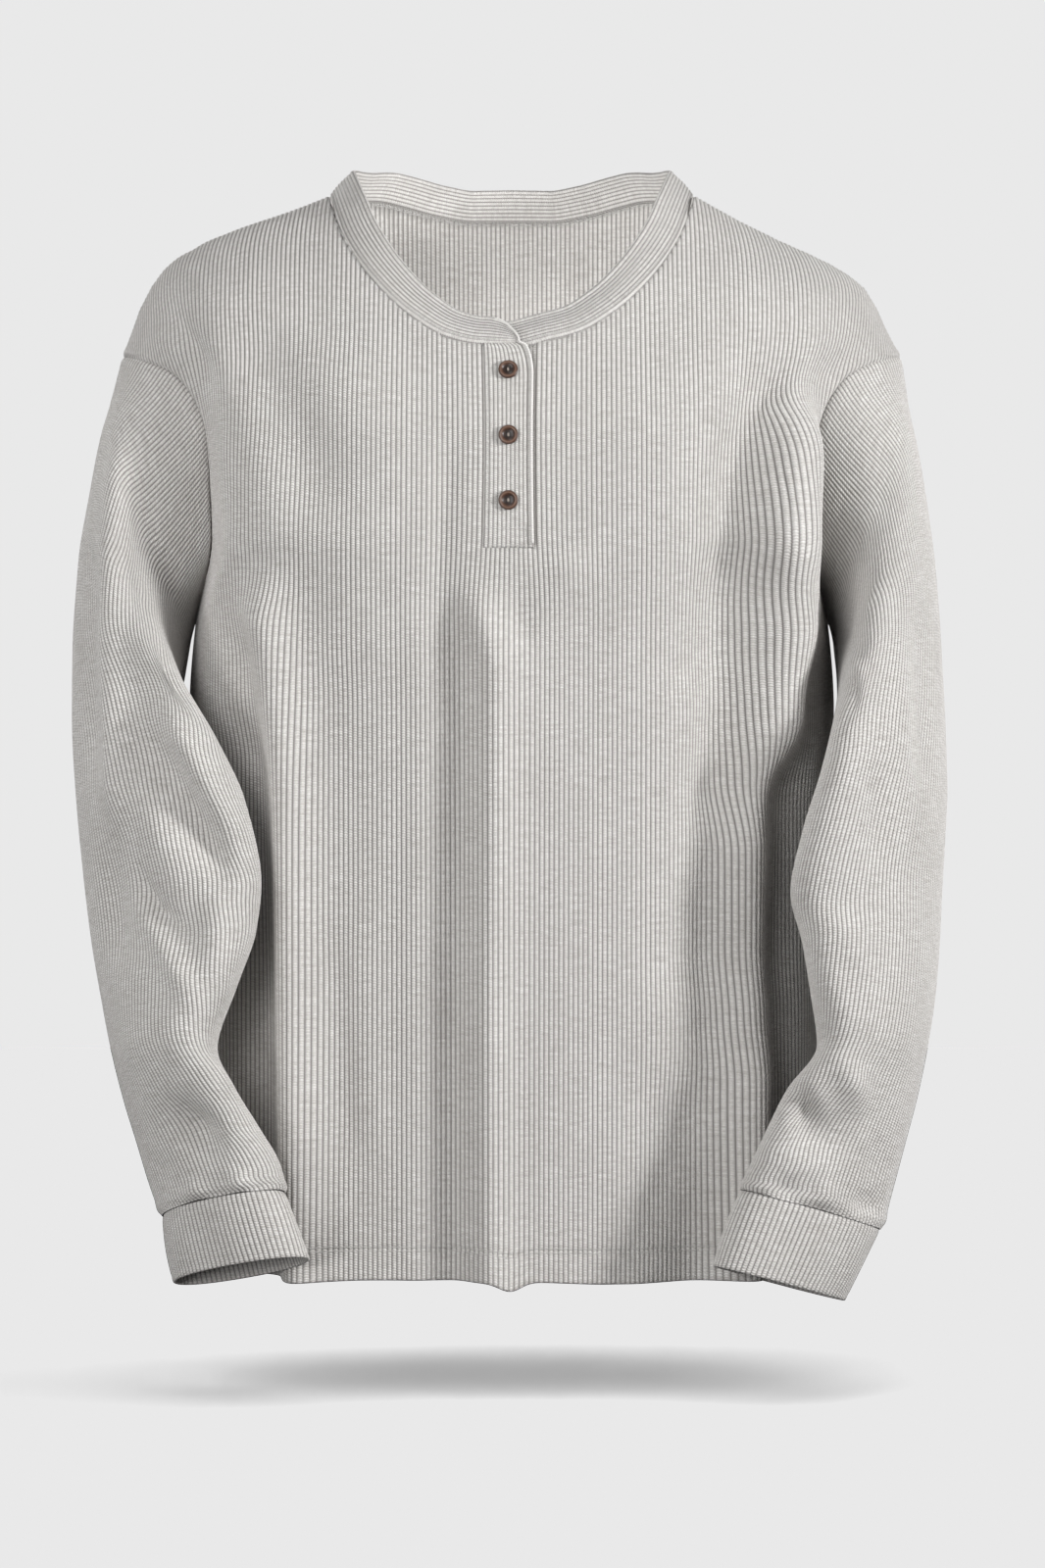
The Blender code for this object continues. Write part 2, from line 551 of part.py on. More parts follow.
def wall(name, outer, inner, look, keep=None, closed=False, flip=False):
    """A closed solid between two grids of points, with a rim wherever the outer skin ends.

    A modifier would thicken each panel along its own normals and press neighbours into each other at
    the seams, so the inner points are given. Both skins are cut along the same diagonals. Rows that
    have run into a neckline share one point there.
    """
    rows, columns = outer.shape[:2]
    flat = outer.reshape(-1, 3)
    number = np.arange(rows * columns).reshape(rows, columns)
    for i in range(1, rows):
        same = np.linalg.norm(outer[i] - outer[i - 1], axis=1) < SAME_POINT
        number[i, same] = number[i - 1, same]
    if closed:
        number = np.concatenate([number, number[:, :1]], axis=1)
    skin = []
    for i in range(rows - 1):
        for j in range(number.shape[1] - 1):
            if keep is not None and not keep[i, j]:
                continue
            a, b, c, d = number[i, j], number[i, j + 1], number[i + 1, j + 1], number[i + 1, j]
            short = np.linalg.norm(flat[a] - flat[c]) <= np.linalg.norm(flat[b] - flat[d])
            pair = ((a, b, c), (a, c, d)) if short else ((a, b, d), (b, c, d))
            skin += [face for face in pair if len(set(face)) == 3]
    edges = {(face[k], face[(k + 1) % 3]) for face in skin for k in range(3)}
    rim = [edge for edge in edges if edge[::-1] not in edges]
    count = rows * columns
    faces = list(skin) + [(c + count, b + count, a + count) for a, b, c in skin]
    for start, end in sorted(rim):
        faces += [(end, start, count + start), (end, count + start, count + end)]
    points = np.concatenate([flat, inner.reshape(-1, 3)]) * MM
    used = sorted({corner for face in faces for corner in face})
    index = {old: new for new, old in enumerate(used)}
    faces = [tuple(index[corner] for corner in (face[::-1] if flip else face)) for face in faces]
    mesh = bpy.data.meshes.new(name)
    mesh.from_pydata([tuple(points[k]) for k in used], [], faces)
    mesh.polygons.foreach_set("use_smooth", [True] * len(faces))
    return add_object(name, mesh, look)


def pull_back(edge, beside, wall_way, gap):
    """Steps that move an edge off its seam, towards the points beside it and square to the seam."""
    seam = unit(np.gradient(edge, axis=0))
    way = beside - edge
    way = way - seam * np.sum(way * seam, axis=-1, keepdims=True)
    way = way - wall_way * np.sum(way * wall_way, axis=-1, keepdims=True)
    return unit(way) * gap


def side_seam_normals(normals, armhole_row):
    """At the side seams both panels' walls point the same way: straight out."""
    for column in (0, -1):
        normals[:armhole_row + 1, column, 1] = 0.0
    normals[:armhole_row + 1, (0, -1)] = unit(normals[:armhole_row + 1, (0, -1)])


def build_button(number, centre, outward, look):
    """A dished button with a raised rim, turned from its profile, sitting off the placket."""
    mesh = bpy.data.meshes.new(f"button_{number}")
    points = [(radius * MM, 0.0, height * MM) for radius, height in BUTTON_PROFILE]
    mesh.from_pydata(points, [(k, k + 1) for k in range(len(points) - 1)], [])
    made = add_object(f"button_{number}", mesh, look)
    turn = made.modifiers.new("turned", "SCREW")
    turn.axis = "Z"
    turn.steps = turn.render_steps = BUTTON_SIDES
    turn.use_merge_vertices = True
    turn.merge_threshold = 0.00001
    turn.use_smooth_shade = True
    x_axis = unit(np.cross((0.0, 1.0, 0.0), outward))
    y_axis = np.cross(outward, x_axis)
    made.location = Vector(centre * MM)
    made.rotation_euler = Matrix((x_axis, y_axis, outward)).transposed().to_euler()


def build_cuffs(knit):
    """Straight ribbed bands, each from just below its sleeve's end to its own edge."""
    turns = np.arange(2 * CUFF_RIBS) / (2 * CUFF_RIBS)
    ridge = np.where(np.arange(2 * CUFF_RIBS) % 2 == 1, RIB_HEIGHT, 0.0)[None, :, None]
    for name, table, edge, side in (("cuff_left", SLEEVE_LEFT, CUFF_EDGE_LEFT, -1),
                                    ("cuff_right", SLEEVE_RIGHT, CUFF_EDGE_RIGHT, 1)):
        centre, reach, depth = (part[-1] for part in sleeve_sections(table, side))
        outer_end, inner_end, half_depth = edge
        outer_end = np.array(outer_end) * (side, 1, 1)
        inner_end = np.array(inner_end) * (side, 1, 1)
        low_centre = (outer_end + inner_end) / 2
        axis = unit(np.cross(reach, depth))
        axis *= np.sign(np.dot(axis, low_centre - centre))
        top = ring(centre + axis * CUFF_SEAM, reach * CUFF_GATHER, depth * CUFF_GATHER, turns)
        low = ring(low_centre, (inner_end - outer_end) / 2, unit(depth) * half_depth, turns)
        points = np.stack([top, low])
        out = grid_normals(points, closed=True) * -side
        out[0] = in_plane(out[0], reach, depth)
        wall(name, points + out * ridge, points - out * FOLDED, knit[name], closed=True, flip=side > 0)


def build_placket_and_band(front, front_out, back, back_out, front_across, slit_left, slit_right, knit):
    """The two layers of the placket, the buttons on it, and the neckband whose ends cross there."""
    foot = slit_foot()
    per_mm = (slit_right - slit_left) / (SLIT_RIGHT - SLIT_LEFT)
    gap = SEAM_GAP * per_mm
    over, over_in, over_out = placket(slit_left + gap, slit_right - gap, foot + SEAM_GAP,
                                      PLACKET_CORNER * per_mm, PLACKET_RAISE)
    under, under_in, under_out = placket(UNDERLAP_LEFT * per_mm, UNDERLAP_RIGHT * per_mm,
                                         foot - UNDERLAP_BELOW_FOOT, 0.0, UNDERLAP_RISE)
    for name, outer, inner, out, top_gap in (
            ("placket_top", over, over_in, over_out, SEAM_GAP),
            ("placket_under", under, under_in, under_out, UNDERLAP_TOP_GAP)):
        shift = np.zeros_like(outer)
        shift[-1] = pull_back(outer[-1], outer[-2], out[-1], top_gap)
        wall(name, outer + shift, inner + shift, knit[name])

    # The seam line, from the overlap's corner round the back of the neck to the underlap's end.
    first, last = COLUMNS_SHOULDER, len(front_across) - COLUMNS_SHOULDER
    left_of_slit = np.arange(first, last)[front_across[first:last] <= slit_left + 1e-9][::-1]
    right_of_slit = np.arange(first, last)[front_across[first:last] >= slit_right - 1e-9][::-1]
    around = np.arange(COLUMNS_SHOULDER, back.shape[1] - COLUMNS_SHOULDER)[1:-1]
    seam = np.concatenate([(over[-1] - over_out[-1] * PLACKET_RAISE)[:0:-1], front[-1, left_of_slit],
                           back[-1, around], front[-1, right_of_slit],
                           (under[-1] - under_out[-1] * UNDERLAP_RISE)[UNDER_BAND_COLUMNS - 1::-1]])
    seam_out = np.concatenate([over_out[-1][:0:-1], front_out[-1, left_of_slit], back_out[-1, around],
                               front_out[-1, right_of_slit],
                               under_out[-1][UNDER_BAND_COLUMNS - 1::-1]])
    place = lengths(seam)
    over_end = place[PLACKET_COLUMNS]
    under_start = place[-UNDER_BAND_COLUMNS - 1]
    rise = np.interp(place, (over_end, over_end + BAND_SHIFT, under_start - BAND_SHIFT, under_start),
                     (PLACKET_RAISE, BAND_RISE, BAND_RISE, UNDER_BAND_RISE))
    corner = np.clip(place / over_end, 0, 1)
    width = BAND_WIDTH * np.sqrt(np.clip(1 - (1 - corner) ** 2, BAND_CORNER_LEAST, 1))
    outer, inner, out = neckband(seam, seam_out, width, rise)
    # Over the placket's layers the gap is already theirs.
    shift = np.zeros_like(outer)
    shift[0] = pull_back(outer[0], outer[1], out[0], SEAM_GAP)
    shift[0, :PLACKET_COLUMNS] = 0.0
    shift[0, -UNDER_BAND_COLUMNS:] = 0.0
    wall("neckband", outer + shift, inner + shift, knit["neckband"], flip=True)

    # The panels' top edges take the band's wall direction.
    count = len(over[-1]) - 1
    front_out[-1, left_of_slit] = out[0, count:count + len(left_of_slit)]
    count += len(left_of_slit)
    back_out[-1, around] = out[0, count:count + len(around)]
    count += len(around)
    front_out[-1, right_of_slit] = out[0, count:count + len(right_of_slit)]

    look = material("button_horn", BUTTON_COLOUR, 0.35)
    middle, middle_out = over[:, PLACKET_COLUMNS // 2], over_out[:, PLACKET_COLUMNS // 2]
    for number, height in enumerate(BUTTON_HEIGHTS, start=1):
        centre = np.array([np.interp(height, middle[:, 2], middle[:, k]) for k in range(3)])
        outward = unit(np.array([np.interp(height, middle[:, 2], middle_out[:, k]) for k in range(3)]))
        centre += outward * SEAM_GAP
        build_button(number, centre, outward, look)


def build():
    for old in list(bpy.data.objects):
        bpy.data.objects.remove(old, do_unlink=True)
    bpy.context.scene.collection.children.link(bpy.data.collections.new("henley_shirt"))

    # Columns and rows. The front has a column on each edge of the slit and one between them.
    slit_left, slit_right = slit_station(SLIT_LEFT), slit_station(SLIT_RIGHT)
    half = even_columns(front=True)
    half = half[half > slit_right * NEXT_COLUMN]
    front_across = np.concatenate([-half[::-1], [slit_left, 0.0, slit_right], half])
    places = row_places(slit_foot())
    armhole_row = ROWS_HEM_TO_UNDERARM
    slit_row = armhole_row + ROWS_UNDERARM_TO_SLIT
    front, front_out, front_ends = panel_grid(front_across, places, front=True)
    half_back = even_columns(front=False)
    back_across = np.concatenate([-half_back[:0:-1], half_back])
    back, back_out, back_ends = panel_grid(back_across, places, front=False)
    side_seam_normals(front_out, armhole_row)
    side_seam_normals(back_out, armhole_row)
    left_cell = len(half)
    keep_front = np.ones((len(places) - 1, len(front_across) - 1), bool)
    keep_front[slit_row:, left_cell:left_cell + 2] = False

    # Shoulder seams: both panels' walls point along the shared normal.
    for shoulder in (slice(0, COLUMNS_SHOULDER + 1), slice(-COLUMNS_SHOULDER - 1, None)):
        shared = unit(front_out[-1, shoulder] + back_out[-1, shoulder])
        front_out[-1, shoulder] = shared
        back_out[-1, shoulder] = shared

    # Sleeves share the panels' own armhole points.
    sleeves = {}
    for name, table, folds, side, column in (("sleeve_left", SLEEVE_LEFT, FOLDS_SLEEVE_LEFT, -1, 0),
                                             ("sleeve_right", SLEEVE_RIGHT, FOLDS_SLEEVE_RIGHT, 1, -1)):
        rise = front[armhole_row:, column]
        fall = back[armhole_row:, column][::-1][1:-1]
        loop = np.concatenate([rise, fall])
        first = lengths(rise)
        last = lengths(back[armhole_row:, column][::-1])
        turns = np.concatenate([first / first[-1] / 2, 0.5 + last[1:-1] / last[-1] / 2])
        points, out = sleeve(table, side, loop, turns, folds, SLEEVE_ROWS)
        count = len(rise)
        meet = np.concatenate([front_out[armhole_row:, column], back_out[armhole_row:, column][::-1][1:-1]])
        meet[0] = unit(meet[0] + back_out[armhole_row, column])
        both = unit(meet + out[0])
        out[0] = both
        front_out[armhole_row:, column] = both[:count]
        back_out[armhole_row + 1:-1, column] = both[count:][::-1]
        back_out[armhole_row, column] = both[0]
        back_out[-1, column] = both[count - 1]
        sleeves[name] = (points, out, side)

    knit = {name: material(name + "_knit", CLOTH_COLOUR, 0.95)
            for name in ("front", "back", "sleeve_left", "sleeve_right", "cuff_left", "cuff_right",
                         "neckband", "placket_top", "placket_under")}
    build_placket_and_band(front, front_out, back, back_out, front_across, slit_left, slit_right, knit)
    thick = np.full(len(places), CLOTH)
    thick[:2] += HEM_EXTRA
    for name, points, out, ends, keep, flip in (
            ("front", front, front_out, front_ends, keep_front, False),
            ("back", back, back_out, back_ends, None, True)):
        shift = np.zeros_like(points)
        for edge, beside in ((0, 1), (-1, -2)):
            shift[:, edge] += pull_back(points[:, edge], points[:, beside], out[:, edge], SEAM_GAP / 2)
        columns = np.arange(points.shape[1])
        shift[-1] += pull_back(points[-1], points[ends - 1, columns], out[-1], SEAM_GAP / 2)
        for column, end in enumerate(ends):
            out[end:, column] = out[-1, column]
            shift[end:, column] = shift[-1, column]
        inner = points - out * thick[:, None, None]
        wall(name, points + shift, inner + shift, knit[name], keep=keep, flip=flip)
    for name, (points, out, side) in sleeves.items():
        shift = np.zeros_like(points)
        shift[0] = pull_back(points[0], points[1], out[0], SEAM_GAP)
        wall(name, points + shift, points - out * CLOTH + shift, knit[name], closed=True, flip=side > 0)
    build_cuffs(knit)


if __name__ == "__main__":
    build()
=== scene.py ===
"""The looks of a henley shirt in heather-grey rib knit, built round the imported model.

Tables and forms are in millimetres, as in the part's source, and meshes are made in metres. Every cloth
piece is a thin shell on its solid's form with the ribs of the knit raised in it. Its map named KnitMap
holds flat metres: U across the ribs and V along them, which the knit material reads.
"""

import functools
import math

import bpy
import numpy as np
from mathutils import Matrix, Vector


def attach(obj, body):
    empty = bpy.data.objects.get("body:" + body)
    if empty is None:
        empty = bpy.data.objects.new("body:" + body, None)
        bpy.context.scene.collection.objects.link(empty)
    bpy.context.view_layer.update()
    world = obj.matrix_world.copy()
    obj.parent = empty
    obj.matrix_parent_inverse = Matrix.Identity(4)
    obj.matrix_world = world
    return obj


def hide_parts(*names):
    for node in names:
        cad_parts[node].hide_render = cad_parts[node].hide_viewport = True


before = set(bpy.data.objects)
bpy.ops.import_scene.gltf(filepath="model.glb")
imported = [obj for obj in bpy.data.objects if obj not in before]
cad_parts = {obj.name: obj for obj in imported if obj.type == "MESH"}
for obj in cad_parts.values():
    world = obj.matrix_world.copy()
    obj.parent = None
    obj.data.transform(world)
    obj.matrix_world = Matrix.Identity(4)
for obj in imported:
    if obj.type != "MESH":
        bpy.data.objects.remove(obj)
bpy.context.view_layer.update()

MM = 0.001

# ---- sizes of the garment, in millimetres
FOLDED = 2.2                # thickness of a folded band
NECK_HALF_WIDTH = 117.0
NECK_OVERLAP_SAG = 2.0
BAND_WIDTH = 22.0
BAND_BOW = 0.8
BAND_LEAN = ((0, 51.0), (90, 42.0), (180, 58.0))   # degrees round the neck from the front, slope of the band
NECK_AXIS_DEPTH = -8.0
SLIT_LEFT = -16.0
SLIT_RIGHT = 12.8
SLIT_BOTTOM = -232.0
SLIT_BEND = 80.0            # ribs as far as this from the middle bend to follow the slit's edges
PLACKET_WIDTH = SLIT_RIGHT - SLIT_LEFT
PLACKET_RAISE = 0.8
PLACKET_CORNER = 8.0
PLACKET_CORNER_LENGTH = 26.0
UNDERLAP_LEFT = -11.0
UNDERLAP_RIGHT = 19.0
UNDERLAP_RISE = -2.2
UNDER_BAND_RISE = -3.7
UNDERLAP_BELOW_FOOT = 8.0
BAND_RISE = 0.4
BAND_SHIFT = 20.0
BAND_CORNER_LEAST = 0.08 / 3   # the band's width squared at its rounded end, as a share
BAND_STITCHES = 2.9         # height of the row of stitches above the band's seam
BAND_LIP = 1.2              # how far the fold rises above the band's edge
CUFF_SEAM = 0.4
BUTTON_HEIGHTS = (-121.0, -162.0, -202.5)
SEAM_CALM = 0.12

# ---- the knit, in millimetres
RIB = 3.05                  # from one rib to the next
RIB_RELIEF = 0.75           # depth of the grooves between ribs
RIB_STEPS = 4               # columns to a rib
PANEL_ROWS = 128
FINE_COLUMNS = 640          # columns of the grid that a panel's points are read from
SLEEVE_MESH_ROWS = 112
SLEEVE_TURNS = 480          # steps once round a sleeve's smooth form
TUCK_IN = 1.8               # a sleeve's seam allowance: how far in and how far past the seam
TUCK_BACK = 2.5
CUFF_RIBS = 76
BAND_RIBS = 8
PLACKET_RIB = 2.6           # from one rib to the next on the placket
PLACKET_STEPS = 56          # columns, and rows, of its upper layer
HEM_TURN = ((20.0, -1.7), (12.0, -1.8), (4.0, -1.8), (0.9, -1.5), (0.0, -0.8), (0.4, -0.15))   # height, inwards
HEM_STITCH_ROWS = (18.3, 20.7)   # heights
CORD_RADIUS = 0.85          # the rolled edge of the overlap
CORD_REACH = 16.0           # how far it runs on round the neckband's corner
STITCH_LENGTH = 2.6
STITCH_GAP = 0.9
STITCH_RADIUS = 0.28
STITCH_PITCH = 1.55         # from one knit stitch to the next up a rib
BOX_HEIGHT = 13.4           # height of the stitched box at the placket's foot
BOX_LEVELS = (1.2, BOX_HEIGHT)
KNIT_LIGHT = (0.84, 0.825, 0.805)
KNIT_DARK = (0.50, 0.475, 0.45)
# colour of the painted shade in the knit's grooves and in the gaps between stitches
KNIT_SHADE = (0.13, 0.12, 0.11)
SEWING_THREAD = ((0.33, 0.32, 0.305), (0.62, 0.61, 0.59), 0.75)   # dark, light, roughness
BUTTON_THREAD = ((0.30, 0.24, 0.20), (0.62, 0.55, 0.48), 0.6)
BUTTON_PROFILE = (          # radius, height
    (0.0, 1.35), (1.2, 1.35), (2.6, 1.45), (3.5, 1.75), (3.9, 2.2), (4.15, 2.5), (4.5, 2.62), (4.95, 2.6),
    (5.2, 2.46), (5.45, 2.5), (5.8, 2.3), (6.0, 1.95), (6.1, 1.5), (6.0, 1.1), (5.6, 0.7), (4.8, 0.3),
    (3.5, 0.1), (0.0, 0.05),
)

# ---- camera, floor and light, in metres
SENSOR = 36.0               # in millimetres
PICTURE_HEIGHT = 1600
CAMERA_AWAY = 3.2
CAMERA_X = 0.0069
CAMERA_HEIGHT = -0.378
PIXEL = 0.00063             # size of a pixel at the garment's middle
FLOOR = -0.757
FLOOR_RADIUS = 4.0
FLOOR_TONE = 0.62
BACKDROP = (0.8148, 0.8148, 0.8148)
AMBIENT = (0.16, 0.16, 0.163)
LIGHTS = (
    # name, place, target, size, power
    ("top", (-0.7, -0.6, 2.2), (0.0, 0.0, -0.4), (1.2, 0.8), 13.0),
    ("key", (3.1, -1.7, 0.35), (0.0, 0.0, -0.35), (0.6, 0.6), 104.0),
    ("front", (-1.0, -3.3, 0.3), (0.0, 0.0, -0.3), (1.0, 1.0), 26.0),
    ("low", (-0.9, -1.5, -0.6), (-0.2, -0.1, -0.6), (0.5, 0.3), 8.0),
    ("sleeve R", (0.9, -0.8, 0.0), (0.26, -0.1, -0.22), (0.2, 0.4), 3.0),
    ("sleeve L", (-0.5, -0.8, 0.1), (-0.25, -0.1, -0.25), (0.2, 0.4), 1.7),
    ("inside", (0.0, -0.04, -0.2), (0.0, 0.1, -0.02), (0.16, 0.08), 0.42),
    ("behind", (-0.9, 3.0, 0.9), (0.0, 0.0, -0.35), (1.2, 1.2), 75.0),
)

# ---- smaller creases, in this script alone: name, height, width, and the line in x, z
CREASES_FRONT = (
    ("left ridge top", 9.0, 12.0, ((-158, -240), (-146, -300), (-136, -400), (-133, -600), (-127, -760))),
    ("left ridge foot", -6.0, 12.0, ((-172, -260), (-164, -330), (-156, -420), (-153, -600), (-148, -760))),
    ("right ridge top", 9.0, 12.0, ((156, -330), (147, -420), (145, -600), (140, -760))),
    ("right ridge foot", -8.0, 16.0, ((134, -300), (124, -420), (120, -600), (114, -760))),
    ("right side deep", -12.0, 20.0, ((176, -100), (148, -160), (138, -230), (136, -330), (134, -420))),
    ("right side edge", 13.0, 14.0, ((200, -112), (178, -165), (172, -225), (171, -300), (168, -380))),
    ("right armhole", -7.0, 9.0, ((232, -94), (207, -118), (190, -140), (178, -162))),
    ("right cap", 4.0, 9.0, ((238, -112), (216, -134), (200, -156))),
    ("centre crest", 2.5, 8.0, ((-22, -260), (-8, -315), (-9, -414), (-11, -511), (-11, -608), (-9, -760))),
    ("centre foot", -4.0, 9.0, ((-42, -250), (-30, -315), (-32, -414), (-34, -511), (-35, -608), (-33, -760))),
    ("centre shelf", 4.0, 12.0, ((-62, -240), (-54, -315), (-56, -414), (-58, -520), (-59, -760))),
    ("below placket", 4.0, 15.0, ((24, -228), (34, -246), (44, -262))),
    ("placket shadow", -3.5, 12.0, ((-4, -256), (4, -272), (6, -300))),
    ("placket left", -3.5, 9.0, ((-34, -150), (-40, -190), (-44, -235), (-44, -275))),
    ("small left", 1.4, 11.0, ((-97, -450), (-92, -530), (-82, -630))),
    ("small left dip", -1.4, 11.0, ((-110, -460), (-106, -530), (-97, -630))),
    ("low right dip", -5.0, 22.0, ((104, -540), (98, -620), (92, -740))),
    ("low right swell", 7.0, 22.0, ((138, -520), (136, -620), (132, -750))),
    ("shoulder left", -6.0, 8.0, ((-220, -66), (-207, -92), (-197, -120), (-190, -150))),
    ("left cap", 5.0, 9.0, ((-232, -80), (-222, -102), (-211, -128))),
    ("neck left", -2.0, 14.0, ((-150, -54), (-120, -88), (-84, -112))),
    ("chest left", 2.5, 18.0, ((-176, -150), (-156, -180), (-138, -240))),
    ("hem left", -2.0, 8.0, ((-120, -660), (-118, -690), (-118, -720))),
    ("hem right", -2.0, 9.0, ((62, -650), (66, -690), (66, -720))),
)
CREASES_BACK = (
    ("nape", -2.5, 16.0, ((-60, -40), (0, -52), (60, -42))),
    ("low pull", -3.0, 11.0, ((-150, -470), (-120, -520), (-100, -590))),
    ("low pull right", -3.0, 11.0, ((152, -440), (128, -500), (118, -570))),
    ("left armpit", 3.0, 14.0, ((-186, -240), (-160, -290), (-146, -370))),
    ("right armpit", 3.0, 14.0, ((186, -236), (164, -290), (150, -380))),
)
CREASES_SLEEVE_LEFT = (
    ("outer roll", 7.5, 9.0, ((-246, -150), (-250, -231), (-252, -286), (-248, -354), (-243, -420))),
    ("upper plane", -3.0, 12.0, ((-226, -150), (-230, -220), (-230, -300))),
    ("low outer valley", -4.5, 9.0, ((-250, -405), (-247, -450), (-243, -505))),
    ("elbow deep", -5.0, 10.0, ((-244, -318), (-226, -356), (-205, -392), (-184, -424), (-166, -452))),
    ("elbow rim", 5.0, 8.0, ((-222, -318), (-204, -352), (-184, -388), (-168, -420))),
    ("elbow crease", -6.5, 6.0, ((-235, -420), (-226, -443), (-213, -460), (-200, -466), (-192, -461))),
    ("under crease", 5.0, 8.0, ((-237, -444), (-219, -472), (-198, -505), (-183, -528))),
    ("inner plane", 4.0, 9.0, ((-183, -430), (-180, -476), (-181, -526))),
    ("wrist deep", -6.0, 11.0, ((-208, -566), (-192, -590), (-172, -612))),
    ("wrist roll", 4.0, 9.0, ((-196, -540), (-176, -560), (-160, -580))),
    ("wrist pull", -3.0, 7.0, ((-222, -600), (-214, -622), (-208, -640))),
)
CREASES_SLEEVE_RIGHT = (
    ("inner valley", -4.0, 7.0, ((184, -170), (183, -225), (184, -258))),
    ("inner rim", 4.0, 8.0, ((196, -150), (197, -205), (200, -250))),
    ("pinch crease", -8.0, 7.0, ((180, -258), (200, -278), (218, -300))),
    ("pinch roll", 6.0, 8.0, ((188, -284), (204, -298), (222, -322))),
    ("elbow valley", -4.0, 9.0, ((228, -340), (227, -390), (226, -440))),
    ("outer band", -4.0, 9.0, ((256, -250), (258, -320), (258, -400))),
    ("under pinch", -4.0, 10.0, ((188, -460), (206, -495), (216, -530))),
    ("facet deep", -8.0, 12.0, ((164, -580), (178, -576), (190, -570))),
    ("facet crest", 7.0, 9.0, ((196, -538), (208, -558), (216, -586))),
    ("wrist crest", 4.0, 9.0, ((160, -610), (186, -614), (212, -614))),
    ("wrist pull", -3.0, 7.0, ((232, -590), (224, -612), (220, -640))),
)
PUCKERS_LEFT = (
    ("outer pucker", -6.0, 7.0, ((-230, -646), (-211, -644), (-194, -642))),
    ("outer puff", 4.0, 7.0, ((-204, -632), (-193, -630), (-182, -628))),
    ("middle pucker", -5.0, 7.0, ((-194, -640), (-182, -638), (-168, -635))),
    ("inner puff", 4.0, 7.0, ((-176, -625), (-166, -622), (-156, -619))),
    ("inner pucker", -5.0, 7.0, ((-168, -633), (-155, -629), (-142, -624))),
)
PUCKERS_RIGHT = (
    ("inner pucker", -5.0, 7.0, ((152, -626), (167, -630), (182, -634))),
    ("puff", 4.0, 8.0, ((180, -626), (193, -630), (206, -633))),
    ("outer pucker", -6.0, 7.0, ((203, -635), (217, -638), (234, -642))),
)
CREASES_SLEEVE_LEFT_BACK = (
    ("back elbow", -5.0, 13.0, ((-262, -380), (-225, -400), (-180, -395))),
    ("back fold", -5.0, 14.0, ((-250, -230), (-246, -330), (-236, -420))),
    ("back wrist", -5.0, 12.0, ((-236, -560), (-200, -572), (-170, -560))),
)
CREASES_SLEEVE_RIGHT_BACK = (
    ("back elbow", -5.0, 13.0, ((262, -372), (225, -392), (190, -385))),
    ("back fold", -5.0, 14.0, ((250, -240), (246, -330), (238, -410))),
    ("back wrist", -5.0, 12.0, ((240, -545), (206, -560), (180, -548))),
)

# ---- level sections of the body, one side
HOOPS = (
    # name, height, half width, depth of front, depth of back, fullness
    ("hem", -686.0, 200.0, 120.0, 117.0, 2.1),
    ("low body", -600.0, 200.0, 122.0, 115.0, 2.1),
    ("waist", -500.0, 202.0, 123.0, 111.0, 2.1),
    ("mid body", -400.0, 205.0, 123.0, 113.0, 2.15),
    ("rib cage", -330.0, 207.0, 123.0, 118.0, 2.25),
    ("underarm", -275.0, 203.0, 123.0, 121.0, 2.5),
)

# ---- sections above the underarm, one side: (x, y, z) at five stations from the centre to the armhole
YOKE_FRONT = (
    # name, centre, inner, outer, bend, armhole
    ("low chest", (0, -122, -221), (66, -121, -221), (130, -113, -221), (175, -92, -221), (190, -43, -221)),
    ("chest", (0, -119, -165), (66, -117, -164), (132, -108, -160), (178, -87, -157), (193, -52, -161)),
    ("high chest", (0, -104, -112), (68, -100, -108), (134, -88, -100), (188, -70, -101), (213, -43, -120)),
    ("collar bone", (0, -74, -52), (74, -68, -47), (134, -56, -48), (195, -44, -62), (239, -23, -107)),
)
SHOULDER = ("shoulder", (0, 6, 22),   (78, 6, 13),      (140, 5, -9),     (201, 3, -35),    (250, 0, -104))
YOKE_BACK = (
    ("nape", (0, 66, -1), (80, 57, -1), (134, 46, -30), (195, 36, -58), (239, 23, -107)),
    ("high back", (0, 92, -62), (68, 90, -66), (134, 80, -80), (188, 62, -98), (213, 43, -120)),
    ("blades", (0, 112, -140), (66, 112, -143), (132, 104, -150), (178, 84, -155), (193, 52, -161)),
    ("low blades", (0, 120, -221), (66, 119, -221), (130, 112, -221), (175, 90, -221), (190, 43, -221)),
)

# ---- the two shoulders differ: place across (-1 left armhole, 1 right armhole), lift of the shoulder line
SHOULDER_LIFT = ((-1.0, 0), (-0.97, 6), (-0.93, 13.5), (-0.88, 15.5), (-0.83, 13.5), (-0.78, 9), (-0.73, 3.5),
                 (-0.65, 1), (-0.4, 0), (0.41, 0), (0.47, -2.5), (0.51, -4.5), (0.56, -6.5), (0.6, -8.2),
                 (0.65, -8.8), (0.7, -8), (0.75, -4.5), (0.8, 1), (0.85, 6.5), (0.9, 6.5), (0.95, 2.5), (1.0, 0))
SHOULDER_LIFT_REACH = 120.0  # the lift dies out this far in front of and behind the shoulder line

# ---- the neck seam, one side: height against distance from the centre in front, depth against it behind
NECKLINE_FRONT = ((0, -101.5), (20, -100.5), (40, -96), (64, -82), (88, -59), (106, -32), (117, -1.5))
NECKLINE_BACK = ((0, 72), (25, 71), (50, 66), (75, 56), (96, 41), (110, 23), (117, 6))

